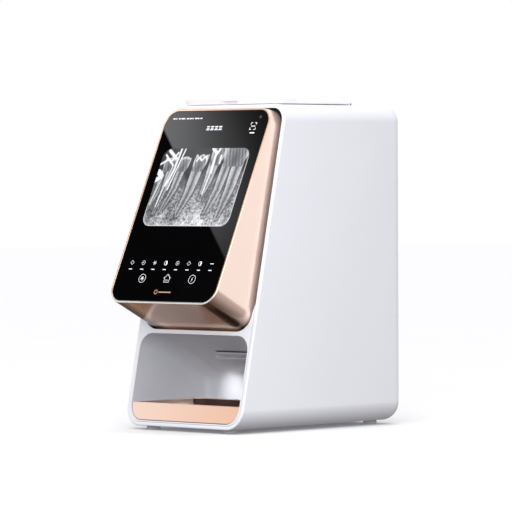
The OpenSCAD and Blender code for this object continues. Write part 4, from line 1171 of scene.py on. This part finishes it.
# rows and columns of the screen's marks, in glass coordinates
STATUS_S, TITLE_S, ICON_S, LABEL_S = 171.0, 160.2, 35.5, 29.1
SCAN_X, SCAN_S = 46, 163.4
KEY_X, KEY_S = 30, 21
EYE_X, EYE_S = 51.5, 172


def make_marks():
    marks = Marks()
    # status line and title: plain bars in place of words
    for k, width in enumerate((2.6, 1.5, 2.2, 3.4, 1.4, 2.8, 3.0, 1.6, 3.2, 2.2, 2.6)):
        x = -53.6 + 3.3 * k
        marks.bar(x, STATUS_S, x + width * 0.85, STATUS_S + 1.1)
    for k in range(4):
        x = -9.4 + 4.9 * k
        for row, inset in enumerate((0.0, 0.5, 0.2)):
            s = TITLE_S + 1.5 * row
            marks.bar(x + inset, s, x + 4.0 - inset, s + 0.75)
    # scan frame with its label
    for side_x in (-1, 1):
        for side_s in (-1, 1):
            cx, cs = SCAN_X + side_x * 3.2, SCAN_S + side_s * 3.2
            marks.line([(cx - side_x * 1.9, cs), (cx, cs)], 0.5)
            marks.line([(cx, cs), (cx, cs - side_s * 1.9)], 0.5)
    marks.bar(SCAN_X - 2.4, SCAN_S - 0.3, SCAN_X + 2.4, SCAN_S + 0.3)
    marks.bar(44.2, 156.6, 49.6, 157.6)
    # eight adjustments with short labels
    for k in range(8):
        x = -48 + 96 * k / 7
        if k in (3, 6):
            crescent = [(x + 1.5 * math.cos(t), ICON_S + 2.1 * math.sin(t))
                        for t in (math.radians(-90 + 180 * j / 12) for j in range(13))]
            marks.plate(crescent)
            marks.ring(x, ICON_S, 2.0, 0.35, 16, 90, 180)
        elif k in (0, 5):
            marks.line([(x - 2, ICON_S), (x, ICON_S + 2), (x + 2, ICON_S), (x, ICON_S - 2),
                        (x - 2, ICON_S)], 0.26)
        elif k == 7:
            marks.bar(x - 1.9, ICON_S - 0.3, x + 1.9, ICON_S + 0.3)
        elif k == 2:
            for j in range(3):
                dx, ds = 2 * math.cos(math.radians(60 * j)), 2 * math.sin(math.radians(60 * j))
                marks.line([(x - dx, ICON_S - ds), (x + dx, ICON_S + ds)], 0.35)
        else:
            marks.ring(x, ICON_S, 1.8, 0.26, 24)
            marks.disc(x, ICON_S, 0.45, 10)
        marks.bar(x - 1.8, LABEL_S, x + 1.8, LABEL_S + 0.7)
    # three main keys
    for x in (-KEY_X, KEY_X):
        marks.ring(x, KEY_S, 3.9, 0.32)
    marks.disc(-KEY_X, KEY_S, 0.9, 14)
    marks.ring(-KEY_X, KEY_S, 1.7, 0.25, 24)
    marks.line([(30.9, 22.8), (29.5, 20.9), (30.5, 20.9), (29.1, 19.1)], 0.35)
    marks.line([(-4.1, 21.3), (0, 25.2), (4.1, 21.3)], 0.36)
    marks.line([(-2.9, 22.3), (-2.9, 17.9), (2.9, 17.9), (2.9, 22.3)], 0.34)
    for dx in (-1.2, 0, 1.2):
        marks.disc(dx, 19.8, 0.35, 8)
    marks.piece("screen_marks", "screen_white")
    badge = Marks()
    badge.ring(-8.5, 8.6, 1.7, 0.6, 24)
    badge.bar(-5.2, 8.1, 9.5, 9.1)
    badge.piece("screen_badge", "screen_mark")
    eye = Marks()
    eye.ring(EYE_X, EYE_S, 1.3, 0.3, 24)
    eye.disc(EYE_X, EYE_S, 0.7, 16)
    eye.piece("screen_camera", "optics_glass")


# ---------------------------------------------------------------- studio
CARD_DISTANCE, CARD_POWER = 0.55, 2.5
GLOW_REACH, GLOW_RUN = 54, 200


def make_reflector():
    """A card that only the gloss sees, laid out as the camera sees it mirrored in the touch glass:
    dark below a slanting edge, lit above it."""
    centre = on_glass(0, GLASS_L / 2, -GLASS_SINK)
    eye = camera.matrix_world.translation
    mirrored = eye - 2 * (eye - centre).dot(GLASS_NORMAL) * GLASS_NORMAL
    ahead = (centre - mirrored).normalized()

    def seen_at(x, s):
        point = on_glass(x, s, -GLASS_SINK)
        ray = (point - mirrored).normalized()
        t = (centre + CARD_DISTANCE * ahead - point).dot(ahead) / ray.dot(ahead)
        return point + t * ray

    edge_from, edge_to = Vector((-62, 162)), Vector((62, 40))
    run = (edge_to - edge_from).normalized()
    rise = Vector((-run.y, run.x))
    soft = 1.0
    bm = bmesh.new()
    bm.faces.new([bm.verts.new((x, s, 0)) for x, s in glass_outline(0.0, 6)])
    cuts = [(rise, band) for band in (-soft, soft, 8, 16, 28, 45, 70, 100)]
    cuts += [(run, along) for along in range(-40, 200, 12)]
    for normal, shift in cuts:
        point = edge_from + normal * shift
        bmesh.ops.bisect_plane(bm, geom=bm.verts[:] + bm.edges[:] + bm.faces[:],
                               plane_co=(point.x, point.y, 0), plane_no=(normal.x, normal.y, 0))
    glow = []
    for vert in bm.verts:
        offset = Vector((vert.co.x, vert.co.y)) - edge_from
        band, along = offset.dot(rise), offset.dot(run)
        fade = max(0.0, 1.0 - max(0.0, along - 12) / GLOW_RUN)
        glow.append(math.exp(-(band / GLOW_REACH) ** 2) * fade if band > 0 else 0.0)
        vert.co = seen_at(vert.co.x, vert.co.y)
    mesh = bpy.data.meshes.new("reflector")
    bm.to_mesh(mesh)
    bm.free()
    layer = mesh.attributes.new("glow", "FLOAT", "POINT")
    layer.data.foreach_set("value", glow)
    m = Nodes("reflector")
    lit = m.add("ShaderNodeAttribute", attribute_name="glow")
    emission = m.add("ShaderNodeEmission", Color=(0.97, 0.98, 1.0, 1))
    power = m.add("ShaderNodeMath", operation="MULTIPLY")
    m.link(lit.outputs["Fac"], power.inputs[0])
    power.inputs[1].default_value = CARD_POWER
    m.link(power.outputs[0], emission.inputs["Strength"])
    m.link(emission.outputs[0], m.nodes["Material Output"].inputs["Surface"])
    mesh.materials.append(m.material)
    card = add_object("reflector", mesh)
    for ray in ("camera", "diffuse", "transmission", "volume_scatter", "shadow"):
        setattr(card, "visible_" + ray, False)


def make_studio():
    bpy.ops.mesh.primitive_circle_add(vertices=96, radius=9.0, fill_type="NGON", location=(0, 0, 0))
    floor = bpy.context.object
    floor.name = "studio_floor"
    m = Nodes("studio_floor")
    m.color(m.ramp(m.noise(3.0), [(0.3, (0.90, 0.90, 0.90)), (0.7, (0.91, 0.91, 0.91))]))
    m.set(Roughness=0.95, Specular_IOR_Level=0.0)
    floor.data.materials.append(m.material)
    floor.visible_glossy = False
    floor.visible_diffuse = False

    def lamp(kind, name, position, target, **values):
        data = bpy.data.lights.new(name, kind)
        for key, value in values.items():
            setattr(data, key, value)
        obj = add_object(name, data)
        obj.location = position
        obj.rotation_mode = "QUATERNION"
        obj.rotation_quaternion = (Vector(target) - Vector(position)).to_track_quat("-Z", "Y")
        obj.visible_camera = False

    lamp("SPOT", "niche_glow", (-0.030, -0.022, 0.038), (-0.032, 0.008, 0.030), energy=0.035,
         spot_size=math.radians(80), spot_blend=1.0, shadow_soft_size=0.004)
    lamp("SUN", "overhead", (0, 0, 3), (0, 0.02, 0), energy=0.62, angle=math.radians(40))
    lamp("AREA", "front_right", (0.52, -0.62, 0.36), (0.07, -0.07, 0.19), energy=4.2,
         color=(0.98, 0.98, 1.0), shape="RECTANGLE", size=0.6, size_y=0.6)
    world = bpy.data.worlds.new("studio")
    scene.world = world
    world.use_nodes = True
    w = Tree(world.node_tree)
    background = w.nodes["Background"]
    direction = w.add("ShaderNodeTexCoord").outputs["Generated"]
    height = w.fraction(w.split(direction)["Z"], -1.0, 1.0)
    soft_light = w.ramp(height, [(0.0, (0.24, 0.24, 0.26)), (0.45, (0.36, 0.36, 0.385)),
                                 (0.55, (0.70, 0.70, 0.73)), (1.0, (1.0, 1.0, 1.02))])
    gloss = w.ramp(height, [(0.0, (0.20, 0.15, 0.12)), (0.38, (0.30, 0.22, 0.18)),
                            (0.47, (1.08, 1.06, 1.05)), (0.60, (1.05, 1.05, 1.05)),
                            (1.0, (0.85, 0.85, 0.88))])
    path = w.add("ShaderNodeLightPath")
    w.link(w.mix(path.outputs["Is Glossy Ray"], soft_light, gloss), background.inputs["Color"])
    background.inputs["Strength"].default_value = 1.0
    seen = w.add("ShaderNodeBackground", Color=(1, 1, 1, 1))
    blend = w.add("ShaderNodeMixShader")
    for source, socket in ((path.outputs["Is Camera Ray"], 0), (background.outputs[0], 1),
                           (seen.outputs[0], 2)):
        w.link(source, blend.inputs[socket])
    w.link(blend.outputs[0], w.nodes["World Output"].inputs["Surface"])
    scene.view_settings.view_transform = "Standard"
    scene.view_settings.look = "None"


make_shell()
make_niche()
make_comb()
make_tray()
make_housing()
make_glass()
make_lid()
make_picture()
make_marks()
make_reflector()
for name in sorted(set(frame["nodes"]) - replaced):
    refine(name)
make_studio()
